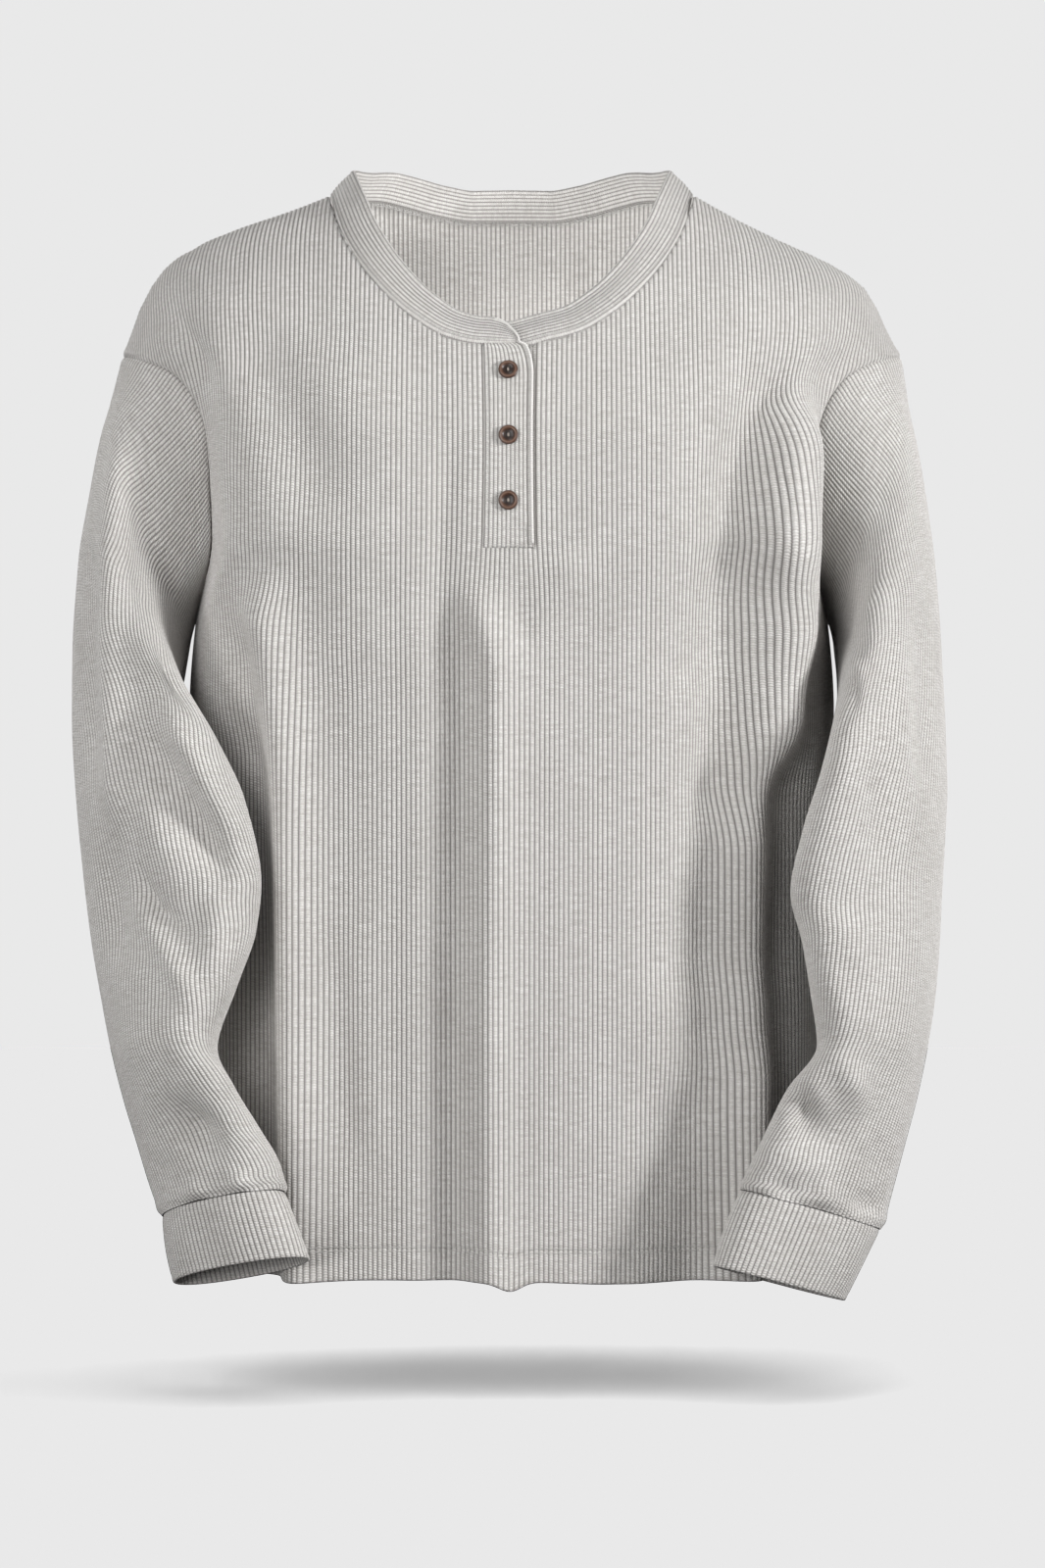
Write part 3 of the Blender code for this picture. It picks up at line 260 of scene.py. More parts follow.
# ---- sections of the sleeves below the armhole: outer edge and inner edge (x outwards, y, z), half depth
SLEEVE_LEFT = (
    # name, outer, inner, half depth
    ("top", (262, 4, -152), (207, -6, -287), 65),
    ("upper 1", (271, 4, -199), (209, -20, -303), 71),
    ("upper 2", (278, 2, -247), (210, -42, -313), 74),
    ("upper 3", (281, -6, -297), (203, -74, -328), 68),
    ("upper 4", (280, -24, -341), (181, -100, -358), 55),
    ("above elbow", (276, -40, -387), (165, -114, -389), 46),
    ("elbow", (270, -52, -439), (155, -118, -439), 42),
    ("below elbow", (264, -60, -481), (158, -120, -468), 43),
    ("lower 1", (258, -66, -512), (170, -122, -503), 49),
    ("lower 2", (252, -72, -541), (182, -124, -540), 52),
    ("lower 3", (243, -80, -575), (171, -127, -565), 48),
    ("lower 4", (234, -88, -602), (155, -131, -591), 42),
    ("lower 5", (226, -96, -626), (142, -135, -613), 37),
    ("wrist seam", (218, -102, -647), (138, -138, -629), 34),
)
SLEEVE_RIGHT = (
    ("top", (258, 4, -155), (207, -6, -287), 65),
    ("upper 1", (266, 4, -202), (208, -20, -303), 71),
    ("upper 2", (272, 2, -253), (207, -44, -315), 73),
    ("upper 3", (275, -6, -303), (204, -74, -329), 69),
    ("upper 4", (276, -24, -347), (199, -96, -348), 62),
    ("above elbow", (276, -38, -378), (191, -110, -375), 55),
    ("elbow", (274, -50, -409), (180, -116, -409), 50),
    ("below elbow", (271, -60, -446), (173, -120, -445), 47),
    ("lower 1", (269, -68, -475), (180, -122, -475), 48),
    ("lower 2", (266, -76, -506), (185, -125, -506), 48),
    ("lower 3", (261, -84, -537), (189, -128, -538), 47),
    ("lower 4", (254, -92, -569), (169, -132, -568), 43),
    ("lower 5", (245, -100, -601), (153, -136, -600), 38),
    ("wrist seam", (230, -106, -655), (140, -139, -627), 34),
)
# ---- the open end of each cuff: outer edge, inner edge, half depth
CUFF_EDGE_LEFT = ((210, -107, -687), (124, -143, -669), 31)
CUFF_EDGE_RIGHT = ((207, -110, -698), (124, -144, -673), 31)
CUFF_GATHER = 0.97          # the cuff is this much smaller than the sleeve's end
SLEEVE_FULLNESS = 2.2

# ---- the solids' folds, the same way
FOLDS_FRONT = (
    ("centre ridge", 9.0, 14.0, ((-31, -245), (-12, -305), (-13, -414), (-15, -511), (-15, -608), (-13, -760))),
    ("centre valley", -6.5, 20.0, ((-52, -235), (-47, -315), (-49, -414), (-51, -520), (-52, -760))),
    ("left ridge", 9.0, 20.0,
     ((-158, -232), (-150, -275), (-141, -330), (-135, -414), (-132, -608), (-126, -760))),
    ("left valley", -8.0, 17.0, ((-176, -320), (-168, -430), (-162, -540), (-160, -760))),
    ("right ridge", 8.0, 18.0, ((164, -240), (152, -330), (143, -420), (141, -600), (136, -760))),
    ("right valley", -8.0, 15.0, ((184, -280), (172, -400), (165, -520), (160, -760))),
    ("right low swell", 6.0, 42.0, ((128, -480), (131, -560), (132, -760))),
    ("left chest slope", -6.0, 26.0, ((-176, -70), (-150, -130), (-122, -185), (-112, -230))),
    ("right chest slope", -9.0, 30.0, ((190, -90), (160, -145), (136, -205), (126, -340))),
    ("right side fold", 9.0, 18.0, ((172, -130), (170, -200), (168, -290), (166, -390))),
    ("left chest light", 3.5, 34.0, ((-118, -90), (-98, -170), (-92, -330))),
)
FOLDS_BACK = (
    ("back centre", -7.0, 24.0, ((10, -320), (4, -450), (0, -560), (-4, -760))),
    ("back left ridge", 7.0, 20.0, ((-70, -290), (-64, -420), (-60, -560), (-58, -760))),
    ("back left valley", -7.0, 18.0, ((-120, -270), (-113, -420), (-108, -560), (-106, -760))),
    ("back right ridge", 8.0, 18.0, ((80, -270), (71, -430), (66, -560), (64, -760))),
    ("back right valley", -7.0, 18.0, ((126, -300), (119, -430), (114, -560), (112, -760))),
    ("left blade", -6.0, 24.0, ((-196, -120), (-160, -200), (-140, -280))),
    ("right blade", -6.0, 24.0, ((196, -120), (162, -205), (142, -290))),
)
FOLDS_SLEEVE_LEFT = (
    ("pinch", -7.0, 22.0, ((-190, -290), (-214, -314), (-244, -344))),
    ("outer valley", -5.0, 12.0, ((-262, -220), (-265, -300), (-260, -390))),
    ("elbow valley", -7.0, 13.0, ((-236, -335), (-209, -372), (-188, -409), (-166, -447))),
    ("elbow roll", 5.0, 12.0, ((-238, -375), (-216, -415), (-199, -460))),
    ("wrist crease", -6.0, 12.0, ((-218, -562), (-197, -590), (-170, -618))),
)
FOLDS_SLEEVE_RIGHT = (
    ("pinch", -7.0, 22.0, ((184, -280), (208, -316), (232, -362))),
    ("upper roll", 4.0, 20.0, ((219, -170), (222, -235), (226, -300))),
    ("elbow crease", -4.0, 12.0, ((176, -446), (200, -452), (232, -440))),
    ("forearm roll", 4.0, 16.0, ((187, -452), (202, -495), (214, -540))),
    ("wrist crease", -8.0, 14.0, ((154, -594), (182, -592), (216, -584))),
)
HEM_DIPS = ((0, 9.0, 5.5), (-128, 26.0, 2.0), (70, 45.0, 2.5))   # across, width, how far the hem drops there
HEM_DIP_RISE = 70.0         # a dip fades out this far above the hem
FOLD_FADE = 45.0            # a fold dies out over this length at each of its ends


def smooth_curve(knots, values, at):
    """Read a smooth curve, with no overshoot, through values at knots.

    values has one row for each knot and a column for each curve; at is one list for all the curves,
    or has a column for each.
    """
    span = np.diff(knots)[:, None, None]
    slope = np.diff(values, axis=0) / span
    product = slope[:-1] * slope[1:]
    total = slope[:-1] + slope[1:]
    tangent = np.empty_like(values)
    tangent[0] = slope[0]
    tangent[-1] = slope[-1]
    tangent[1:-1] = np.where(product > 0, 2 * product / np.where(product > 0, total, 1.0), 0.0)
    at = np.asarray(at, float)
    if at.ndim == 1:
        at = np.repeat(at[:, None], values.shape[1], axis=1)
    row = np.clip(np.searchsorted(knots, at, side="right") - 1, 0, len(knots) - 2)
    column = np.arange(values.shape[1])[None, :]
    width = (knots[row + 1] - knots[row])[..., None]
    t = (at - knots[row])[..., None] / width
    start, end = values[row, column], values[row + 1, column]
    leave, arrive = tangent[row, column] * width, tangent[row + 1, column] * width
    return (start * (2 * t ** 3 - 3 * t ** 2 + 1) + leave * (t ** 3 - 2 * t ** 2 + t)
            + end * (3 * t ** 2 - 2 * t ** 3) + arrive * (t ** 3 - t ** 2))


def lengths(points):
    """Distance along a line of points, from its first."""
    steps = np.linalg.norm(np.diff(points, axis=0), axis=1)
    return np.concatenate([[0.0], np.cumsum(steps)])


def unit(vectors):
    return vectors / np.maximum(np.linalg.norm(vectors, axis=-1, keepdims=True), 1e-12)


def read_line(at, knots, values):
    """Points, or vectors, at places along a line that has values at knots."""
    return np.stack([np.interp(at, knots, values[:, k]) for k in range(3)], axis=-1)


def even_curve(stations, fractions, dense=1200):
    """Points of the smooth curve through stations, at fractions of its length."""
    knots = lengths(stations)
    t = np.linspace(0.0, knots[-1], dense)
    fine = smooth_curve(knots, stations[:, None, :], t)[:, 0]
    along = lengths(fine)
    return smooth_curve(knots, stations[:, None, :], np.interp(fractions * along[-1], along, t))[:, 0]


def hoop_stations(height, half_width, depth, fullness, side):
    """Five stations from the centre to the side seam of a level section; side is -1 in front."""
    angles = np.radians((0.0, 22.0, 44.0, 68.0, 90.0))
    x = half_width * np.sin(angles) ** (2 / fullness)
    y = side * depth * np.clip(np.cos(angles), 0.0, 1.0) ** (2 / fullness)
    y[-1] = 0.0
    return np.stack([x, y, np.full(5, height)], axis=1)


def body_sections():
    """The sections from the front hem over the shoulder to the back hem, each as half a row."""
    front = [hoop_stations(height, half, depth, full, -1) for _, height, half, depth, _, full in HOOPS]
    back = [hoop_stations(height, half, depth, full, 1) for _, height, half, _, depth, full in HOOPS]
    yoke = [np.array(row[1:], float) for row in YOKE_FRONT + (SHOULDER,) + YOKE_BACK]
    return front + yoke + back[::-1]


SECTIONS = body_sections()
OUTER_STATION = 2
ROW_KNOTS = lengths(np.array([section[OUTER_STATION] for section in SECTIONS]))
UNDERARM = ROW_KNOTS[len(HOOPS) - 1]
SHOULDER_LINE = ROW_KNOTS[len(HOOPS) + len(YOKE_FRONT)]
UNDERARM_BACK = ROW_KNOTS[-len(HOOPS)]
BACK_HEM = ROW_KNOTS[-1]


def body_surface(across, along):
    """The body's outer form. across runs -1..1 from left to right, along goes over the shoulder.

    across has one value for a column; along has a row of them for each row of points.
    """
    rows = []
    for half in SECTIONS:
        stations = np.concatenate([half[:0:-1] * (-1, 1, 1), half])
        rows.append(even_curve(stations, (across + 1) / 2))
    points = smooth_curve(ROW_KNOTS, np.array(rows), along)
    near = np.clip(1 - np.abs(along - SHOULDER_LINE) / SHOULDER_LIFT_REACH, 0, 1)
    points[..., 2] += np.interp(across, *zip(*SHOULDER_LIFT)) * near * near * (3 - 2 * near)
    return points


def neckline_value(line, x):
    line = np.array(line, float)
    values = np.concatenate([line[:0:-1, 1], line[:, 1]])
    knots = np.concatenate([-line[:0:-1, 0], line[:, 0]])
    return smooth_curve(knots, values[:, None, None], np.clip(x, knots[0], knots[-1]))[:, 0, 0]


def front_neck_height(x):
    sag = NECK_OVERLAP_SAG * (1 - np.tanh(x / 20.0)) * np.clip(1 - np.abs(x) / NECK_HALF_WIDTH, 0, 1)
    return neckline_value(NECKLINE_FRONT, x) - sag


def back_neck_depth(x):
    return neckline_value(NECKLINE_BACK, x)


def neck_corner():
    """The column that ends at the side-neck seam."""
    probe = np.linspace(0, 1, 400)
    line = body_surface(probe, np.full((1, 400), SHOULDER_LINE))[0, :, 0]
    return np.interp(NECK_HALF_WIDTH, line, probe)


NECK_CORNER = neck_corner()


def top_of_column(across, front):
    """Where each column of a panel ends: at the neckline or at the shoulder seam."""
    low = np.full(len(across), UNDERARM if front else UNDERARM_BACK)
    high = np.full(len(across), SHOULDER_LINE)
    for _ in range(40):
        middle = (low + high) / 2
        point = body_surface(across, middle[None, :])[0]
        if front:
            inside = point[:, 2] > front_neck_height(point[:, 0])
        else:
            inside = point[:, 1] < back_neck_depth(point[:, 0])
        high = np.where(inside, middle, high)
        low = np.where(inside, low, middle)
    return np.where(np.abs(across) < NECK_CORNER - 1e-9, (low + high) / 2, SHOULDER_LINE)


def sleeve_sections(table, side):
    """Centre, half width and half depth vectors of each ring of a sleeve."""
    outer = np.array([row[1] for row in table], float) * (side, 1, 1)
    inner = np.array([row[2] for row in table], float) * (side, 1, 1)
    centre = (outer + inner) / 2
    axis = np.gradient(centre, axis=0)
    tilt = axis[:, 1] / axis[:, 2]
    forward = unit(np.stack([np.zeros(len(table)), -np.ones(len(table)), tilt], axis=1))
    depth = forward * np.array([row[3] for row in table], float)[:, None]
    return centre, (inner - outer) / 2, depth


def ring(centre, reach, depth, turns):
    """Points around one ring at turns 0..1: the underarm, the front, the outer edge, the back."""
    angle = np.linspace(0, 2 * math.pi, 721)
    power = 2 / SLEEVE_FULLNESS
    along = np.sign(np.cos(angle)) * np.abs(np.cos(angle)) ** power
    forward = np.sign(np.sin(angle)) * np.abs(np.sin(angle)) ** power
    fine = centre + along[:, None] * reach + forward[:, None] * depth
    distance = lengths(fine)
    half = distance[len(angle) // 2]
    wanted = np.where(turns < 0.5, turns * 2 * half,
                      half + (turns - 0.5) * 2 * (distance[-1] - half))
    return read_line(wanted, distance, fine)


def slit_station(x):
    """The column that passes x, in mm, halfway down the slit."""
    probe = np.linspace(-0.3, 0.3, 400)
    level = np.full((1, 400), top_of_column(np.array([0.0]), True)[0] - 60.0)
    return np.interp(x, body_surface(probe, level)[0, :, 0], probe)


def slit_foot():
    """How far up the front panel the slit starts."""
    probe = np.linspace(UNDERARM, SHOULDER_LINE, 300)
    heights = body_surface(np.array([0.0]), probe[:, None])[:, 0, 2]
    return np.interp(SLIT_BOTTOM, heights[:200], probe[:200])


# ---------------------------------------------------------------- materials

class Nodes:
    """Short calls for building a material's nodes."""

    def __init__(self, name):
        self.made = bpy.data.materials.new(name)
        self.made.use_nodes = True
        self.tree = self.made.node_tree
        self.shader = self.tree.nodes["Principled BSDF"]

    def add(self, kind, **settings):
        node = self.tree.nodes.new(kind)
        for key, value in settings.items():
            setattr(node, key, value)
        return node

    def feed(self, socket, value):
        """Set a socket to a number or a colour, or link another node's output to it."""
        if isinstance(value, (int, float)):
            socket.default_value = value
        elif isinstance(value, tuple):
            socket.default_value = (*value, 1.0)
        else:
            self.tree.links.new(value, socket)

    def shade(self, **values):
        """Feed the shader's sockets; _ stands for the space in a socket's name."""
        for key, value in values.items():
            self.feed(self.shader.inputs[key.replace("_", " ")], value)

    def flat(self):
        """U and V of the knit map, in metres."""
        where = self.add("ShaderNodeUVMap", uv_map="KnitMap")
        apart = self.add("ShaderNodeSeparateXYZ")
        self.feed(apart.inputs[0], where.outputs[0])
        return apart.outputs[0], apart.outputs[1]

    def math(self, operation, *values, clamp=False):
        node = self.add("ShaderNodeMath", operation=operation, use_clamp=clamp)
        for socket, value in zip(node.inputs, values):
            self.feed(socket, value)
        return node.outputs[0]

    def mix(self, factor, first, second):
        node = self.add("ShaderNodeMix", data_type="RGBA")
        for place, value in ((0, factor), (6, first), (7, second)):
            self.feed(node.inputs[place], value)
        return node.outputs[2]

    def noise(self, u, v, across, along, detail=2.0, roughness=0.5):
        place = self.add("ShaderNodeCombineXYZ")
        self.feed(place.inputs[0], self.math("MULTIPLY", u, across))
        self.feed(place.inputs[1], self.math("MULTIPLY", v, along))
        node = self.add("ShaderNodeTexNoise", noise_dimensions="2D")
        for key, value in (("Scale", 1.0), ("Detail", detail), ("Roughness", roughness),
                           ("Vector", place.outputs[0])):
            self.feed(node.inputs[key], value)
        return node.outputs["Fac"]

    def speckle(self, base, noise, strength, clamp=False):
        """Add a noise about its middle to a tone."""
        step = self.math("MULTIPLY", self.math("SUBTRACT", noise, 0.5), strength)
        return self.math("ADD", base, step, clamp=clamp)

    def bump(self, height, strength, distance):
        node = self.add("ShaderNodeBump")
        for key, value in (("Strength", strength), ("Distance", distance), ("Height", height)):
            self.feed(node.inputs[key], value)
        self.feed(self.shader.inputs["Normal"], node.outputs[0])


def knit_look(piece):
    """The knit of a piece. Bands have their own rib pitch, and the neckband's ribs start half a rib over."""
    pitch = {"neckband": BAND_WIDTH / BAND_RIBS, "placket_top": PLACKET_RIB, "placket_under": PLACKET_RIB}
    return rib_look(pitch.get(piece, RIB) * MM, math.pi / 2 if piece == "neckband" else 0.0)


@functools.cache
def rib_look(pitch, shift):
    """Heather rib knit, with stitches that run up every rib like a rope."""
    n = Nodes(f"heather_rib_{round(pitch * 1e6)}")
    u, v = n.flat()
    rib = n.math("ABSOLUTE", n.math("COSINE", n.math("ADD", n.math("MULTIPLY", u, math.pi / pitch), shift)))
    wale = n.math("FLOOR", n.math("ADD", n.math("DIVIDE", u, pitch), 0.5))
    # Stitches: beads up each rib, staggered from rib to rib, drawn into a V by the distance from its middle.
    drawn = n.math("MULTIPLY", n.math("SUBTRACT", 1.0, rib), 0.35)
    beat = n.math("ADD", n.math("DIVIDE", v, STITCH_PITCH * MM),
                  n.math("ADD", n.math("MULTIPLY", wale, 0.5), drawn))
    bead = n.math("MULTIPLY_ADD", n.math("SINE", n.math("MULTIPLY", beat, 2 * math.pi)), 0.5, 0.5)
    bead = n.math("POWER", bead, 0.6)
    fibre = n.noise(u, v, 2600.0, 1500.0, 3.0, 0.7)
    slub = n.noise(u, v, 60.0, 1100.0, 2.0, 0.6)
    cloud = n.noise(u, v, 28.0, 16.0)
    patch = n.noise(u, v, 420.0, 330.0, 2.0, 0.6)
    # Colour: light and dark fibres, with painted shade darkening the grooves and the gaps between stitches.
    grain = n.math("MULTIPLY_ADD", n.math("SUBTRACT", fibre, 0.5), 1.9, 0.5)
    grain = n.speckle(n.speckle(grain, slub, 1.1), patch, 0.7)
    grain = n.speckle(grain, cloud, 0.25, clamp=True)
    groove_shade = n.math("POWER", n.math("SUBTRACT", 1.0, rib), 1.5)
    gap = n.math("MULTIPLY", n.math("SUBTRACT", 1.0, bead), n.math("MULTIPLY_ADD", groove_shade, 0.35, 0.16))
    # Painted shade: the grooves and the gaps between stitches are darkened towards KNIT_SHADE.
    dark = n.math("ADD", n.math("MULTIPLY", groove_shade, 0.74), gap, clamp=True)
    n.shade(Base_Color=n.mix(dark, n.mix(grain, KNIT_DARK, KNIT_LIGHT), KNIT_SHADE), Roughness=0.92,
            Specular_IOR_Level=0.25, Sheen_Weight=0.18, Sheen_Roughness=0.55, Sheen_Tint=(0.95, 0.94, 0.93))
    height = n.math("ADD", n.math("MULTIPLY", bead, n.math("MULTIPLY_ADD", rib, 0.6, 0.4)),
                    n.math("MULTIPLY", fibre, 0.5))
    n.bump(height, 0.7, 0.0005)
    return n.made


@functools.cache
def thread_look(name, dark, light, roughness):
    """Twisted sewing thread."""
    n = Nodes(name)
    n.shade(Base_Color=n.mix(n.noise(*n.flat(), 1500.0, 700.0), dark, light), Roughness=roughness)
    return n.made


def cord_look():
    """The rolled edge: the cloth's pale face with small cross stitches."""
    n = Nodes("rolled_edge")
    u, v = n.flat()
    grain = n.noise(u, v, 900.0, 900.0)
    beads = n.math("ABSOLUTE", n.math("SINE", n.math("MULTIPLY", v, math.pi / 0.0016)))
    tone = n.math("MULTIPLY", n.math("ADD", grain, beads), 0.5)
    n.shade(Base_Color=n.mix(tone, (0.50, 0.48, 0.455), (0.86, 0.845, 0.825)), Roughness=0.8)
    return n.made


@functools.cache
def button_look():
    """Dark horn: brown bands, a paler raised rim, turning lines; painted shade in the dished middle and thread holes.
    """
    n = Nodes("dark_horn")
    u, v = n.flat()

    def far(first, second):
        return n.math("SQRT", n.math("ADD", n.math("MULTIPLY", first, first), n.math("MULTIPLY", second, second)))

    radius = far(u, v)
    bands = n.noise(u, v, 140.0, 620.0, 3.0, 0.6)
    fine = n.noise(u, v, 1400.0, 1400.0, 2.0, 0.6)
    rough = n.math("MULTIPLY", fine, 0.25)
    horn = n.mix(bands, (0.024, 0.010, 0.006), (0.080, 0.036, 0.020))
    horn = n.mix(rough, horn, (0.16, 0.085, 0.055))
    # A paler ring over the raised rim.
    from_rim = n.math("DIVIDE", n.math("SUBTRACT", radius, 0.0047), 0.0009)
    rim = n.math("SUBTRACT", 1.0, n.math("ABSOLUTE", from_rim), clamp=True)
    horn = n.mix(n.math("MULTIPLY", rim, 0.55), horn, (0.22, 0.125, 0.085))
    # Painted shade: the dished middle is darkened nearly to black.
    middle = n.math("LESS_THAN", radius, 0.0033)
    horn = n.mix(n.math("MULTIPLY", middle, 0.8), horn, (0.010, 0.005, 0.004))
    # Painted shade: dark spots where the thread holes go.
    hole = far(*(n.math("SUBTRACT", n.math("ABSOLUTE", away), 0.00105) for away in (u, v)))
    horn = n.mix(n.math("LESS_THAN", hole, 0.0006), horn, (0.004, 0.003, 0.002))
    n.shade(Base_Color=horn, Roughness=n.math("ADD", rough, 0.28), Coat_Weight=0.12, Coat_Roughness=0.2)
    lines = n.math("SINE", n.math("MULTIPLY", radius, 2 * math.pi / 0.00045))
    n.bump(n.math("ADD", n.math("MULTIPLY", lines, 0.4), fine), 0.25, 0.00012)
    return n.made


# ---------------------------------------------------------------- floor, light and camera

def place_in_scene(name, data, place=(0.0, 0.0, 0.0)):
    made = bpy.data.objects.new(name, data)
    bpy.context.scene.collection.objects.link(made)
    made.location = place
    return made


def build_stage():
    """The floor that catches the shadow, the backdrop, the lamps, which leave the floor out, and the camera."""
    floor = bpy.data.meshes.new("floor")
    rim = [(FLOOR_RADIUS * math.cos(a), FLOOR_RADIUS * math.sin(a), FLOOR)
           for a in np.linspace(0, 2 * math.pi, 97)[:-1]]
    floor.from_pydata(rim, [], [tuple(range(len(rim)))])
    disc = place_in_scene("floor", floor)
    n = Nodes("pale_floor")
    n.shade(Base_Color=(FLOOR_TONE, FLOOR_TONE, FLOOR_TONE), Roughness=1.0, Specular_IOR_Level=0.0)
    floor.materials.append(n.made)
    disc.is_shadow_catcher = True

    scene = bpy.context.scene
    scene.view_settings.view_transform = "Standard"
    world = bpy.data.worlds.new("studio")
    scene.world = world
    world.use_nodes = True
    tree = world.node_tree
    seen = tree.nodes["Background"]
    seen.inputs["Color"].default_value = (*BACKDROP, 1.0)
    lights = tree.nodes.new("ShaderNodeBackground")
    lights.inputs["Color"].default_value = (*AMBIENT, 1.0)
    path = tree.nodes.new("ShaderNodeLightPath")
    blend = tree.nodes.new("ShaderNodeMixShader")
    for source, target in ((path.outputs["Is Camera Ray"], blend.inputs[0]),
                           (lights.outputs[0], blend.inputs[1]),
                           (seen.outputs[0], blend.inputs[2]),
                           (blend.outputs[0], tree.nodes["World Output"].inputs["Surface"])):
        tree.links.new(source, target)

    lit = bpy.data.collections.new("not_the_floor")
    lit.objects.link(disc)
    lit.collection_objects[0].light_linking.link_state = "EXCLUDE"
    for name, place, target, size, power in LIGHTS:
        lamp = bpy.data.lights.new(name, "AREA")
        lamp.shape = "RECTANGLE"
        lamp.size, lamp.size_y = size
        lamp.energy = power
        made = place_in_scene(name, lamp, place)
        made.rotation_euler = (Vector(target) - Vector(place)).to_track_quat("-Z", "Y").to_euler()
        made.light_linking.receiver_collection = lit

    camera = bpy.data.cameras.new("camera")
    camera.lens = SENSOR * CAMERA_AWAY / (PICTURE_HEIGHT * PIXEL)
    made = place_in_scene("camera", camera, (CAMERA_X, -CAMERA_AWAY, CAMERA_HEIGHT))
    made.rotation_euler = (math.pi / 2, 0.0, 0.0)
    scene.camera = made


# ---------------------------------------------------------------- meshes

def fold_heights(x, z, folds):
    """How far the folds lift or sink each point, from its place in the front view."""
    total = np.zeros_like(x)
    for _, height, width, line in folds:
        path = even_curve(np.array(line, float), np.linspace(0, 1, 20), dense=200)
        length = lengths(path)
        near = (x > path[:, 0].min() - 3 * width) & (x < path[:, 0].max() + 3 * width)
        near &= (z > path[:, 1].min() - 3 * width) & (z < path[:, 1].max() + 3 * width)
        px, pz = x[near], z[near]
        nearest = np.full(px.shape, 1e9)
        place = np.zeros_like(px)
        for start, end, done in zip(path[:-1], path[1:], length[:-1]):
            step = end - start
            size = np.hypot(*step)
            t = np.clip(((px - start[0]) * step[0] + (pz - start[1]) * step[1]) / size ** 2, 0, 1)
            distance = np.hypot(px - start[0] - t * step[0], pz - start[1] - t * step[1])
            place = np.where(distance < nearest, done + t * size, place)
            nearest = np.minimum(nearest, distance)
        ends = np.minimum(place, length[-1] - place) / min(FOLD_FADE, length[-1] / 2)
        fade = np.clip(ends, 0, 1)
        total[near] += height * np.exp(-(nearest / width) ** 2) * fade * fade * (3 - 2 * fade)
    return total


def grid_normals(points, closed=False):
    """Unit normals of a grid of points: columns run across and rows run along it."""
    if closed:
        across = np.roll(points, -1, axis=1) - np.roll(points, 1, axis=1)
    else:
        across = np.gradient(points, axis=1)
    return unit(np.cross(across, np.gradient(points, axis=0)))


def ring_normals(points, side):
    """Outward normals of a tube, with its first column again as its last."""
    normals = grid_normals(points[:, :-1], closed=True) * -side
    return np.concatenate([normals, normals[:, :1]], axis=1)


def grid_numbers(points):
    return np.arange(points.shape[0] * points.shape[1]).reshape(points.shape[:2])


def grid_map(u, v):
    """Flat places of a grid, from its U and V in millimetres."""
    return np.stack(np.broadcast_arrays(u, v), axis=-1)


def grid_triangles(number, keep=None, flip=False):
    """Triangles of a grid of point numbers. Cells that have shrunk to a line are left out."""
    a, b, c, d = number[:-1, :-1], number[:-1, 1:], number[1:, 1:], number[1:, :-1]
    cells = np.stack([a, b, c, d], axis=-1)
    cells = cells[keep] if keep is not None else cells.reshape(-1, 4)
    triangles = np.concatenate([cells[:, (0, 1, 2)], cells[:, (0, 2, 3)]])
    whole = ((triangles[:, 0] != triangles[:, 1]) & (triangles[:, 1] != triangles[:, 2])
             & (triangles[:, 0] != triangles[:, 2]))
    triangles = triangles[whole]
    return triangles[:, ::-1] if flip else triangles


def tube_triangles(number):
    """Triangles of a tube whose rings are rows of point numbers, with a fan over each end."""
    first, last = number[0], number[-1]
    middle = range(1, len(first) - 1)
    return np.concatenate([grid_triangles(np.concatenate([number, number[:, :1]], axis=1)),
                           [(first[0], first[k + 1], first[k]) for k in middle],
                           [(last[0], last[k], last[k + 1]) for k in middle]])


def circles(first, second, sides):
    """A circle of unit vectors for each pair of axes."""
    angle = np.arange(sides) / sides * 2 * math.pi
    return np.cos(angle)[None, :, None] * first[:, None] + np.sin(angle)[None, :, None] * second[:, None]


def make_piece(name, points, triangles, flat, look, node=None):
    """A mesh object of points in millimetres, with its knit map, riding on the body."""
    points, flat = points.reshape(-1, 3), flat.reshape(-1, 2)
    used = np.unique(triangles)
    renumber = np.zeros(points.shape[0], int)
    renumber[used] = np.arange(len(used))
    triangles = renumber[triangles]
    mesh = bpy.data.meshes.new(name)
    mesh.vertices.add(len(used))
    mesh.vertices.foreach_set("co", (points[used] * MM).ravel())
    mesh.loops.add(triangles.size)
    mesh.loops.foreach_set("vertex_index", triangles.ravel())
    mesh.polygons.add(len(triangles))
    mesh.polygons.foreach_set("loop_start", np.arange(0, triangles.size, 3))
    mesh.polygons.foreach_set("use_smooth", np.ones(len(triangles), bool))
    mesh.update(calc_edges=True)
    layer = mesh.uv_layers.new(name="KnitMap")
    layer.data.foreach_set("uv", (flat[used][triangles.ravel()] * MM).ravel())
    mesh.materials.append(look)
    piece = place_in_scene(name, mesh)
    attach(piece, "root")
    if node:
        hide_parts(node)
    return piece


def make_cloth(node, points, triangles, flat):
    return make_piece(node + "_cloth", points, triangles, flat, knit_look(node), node)


def rounded_ribs(offset, pitch, middle):
    """Height of round ribs with narrow grooves, as a share, at a flat distance across them."""
    return np.abs(np.cos(math.pi * offset / pitch)) ** 0.7 - middle


def rib_height(offset):
    return RIB_RELIEF * rounded_ribs(offset, RIB, 0.6)


def swell(distance, height, width):
    return height * np.exp(-(distance / width) ** 2)


def dip(distance, depth, width):
    return -swell(distance, depth, width)


# ---------------------------------------------------------------- front and back

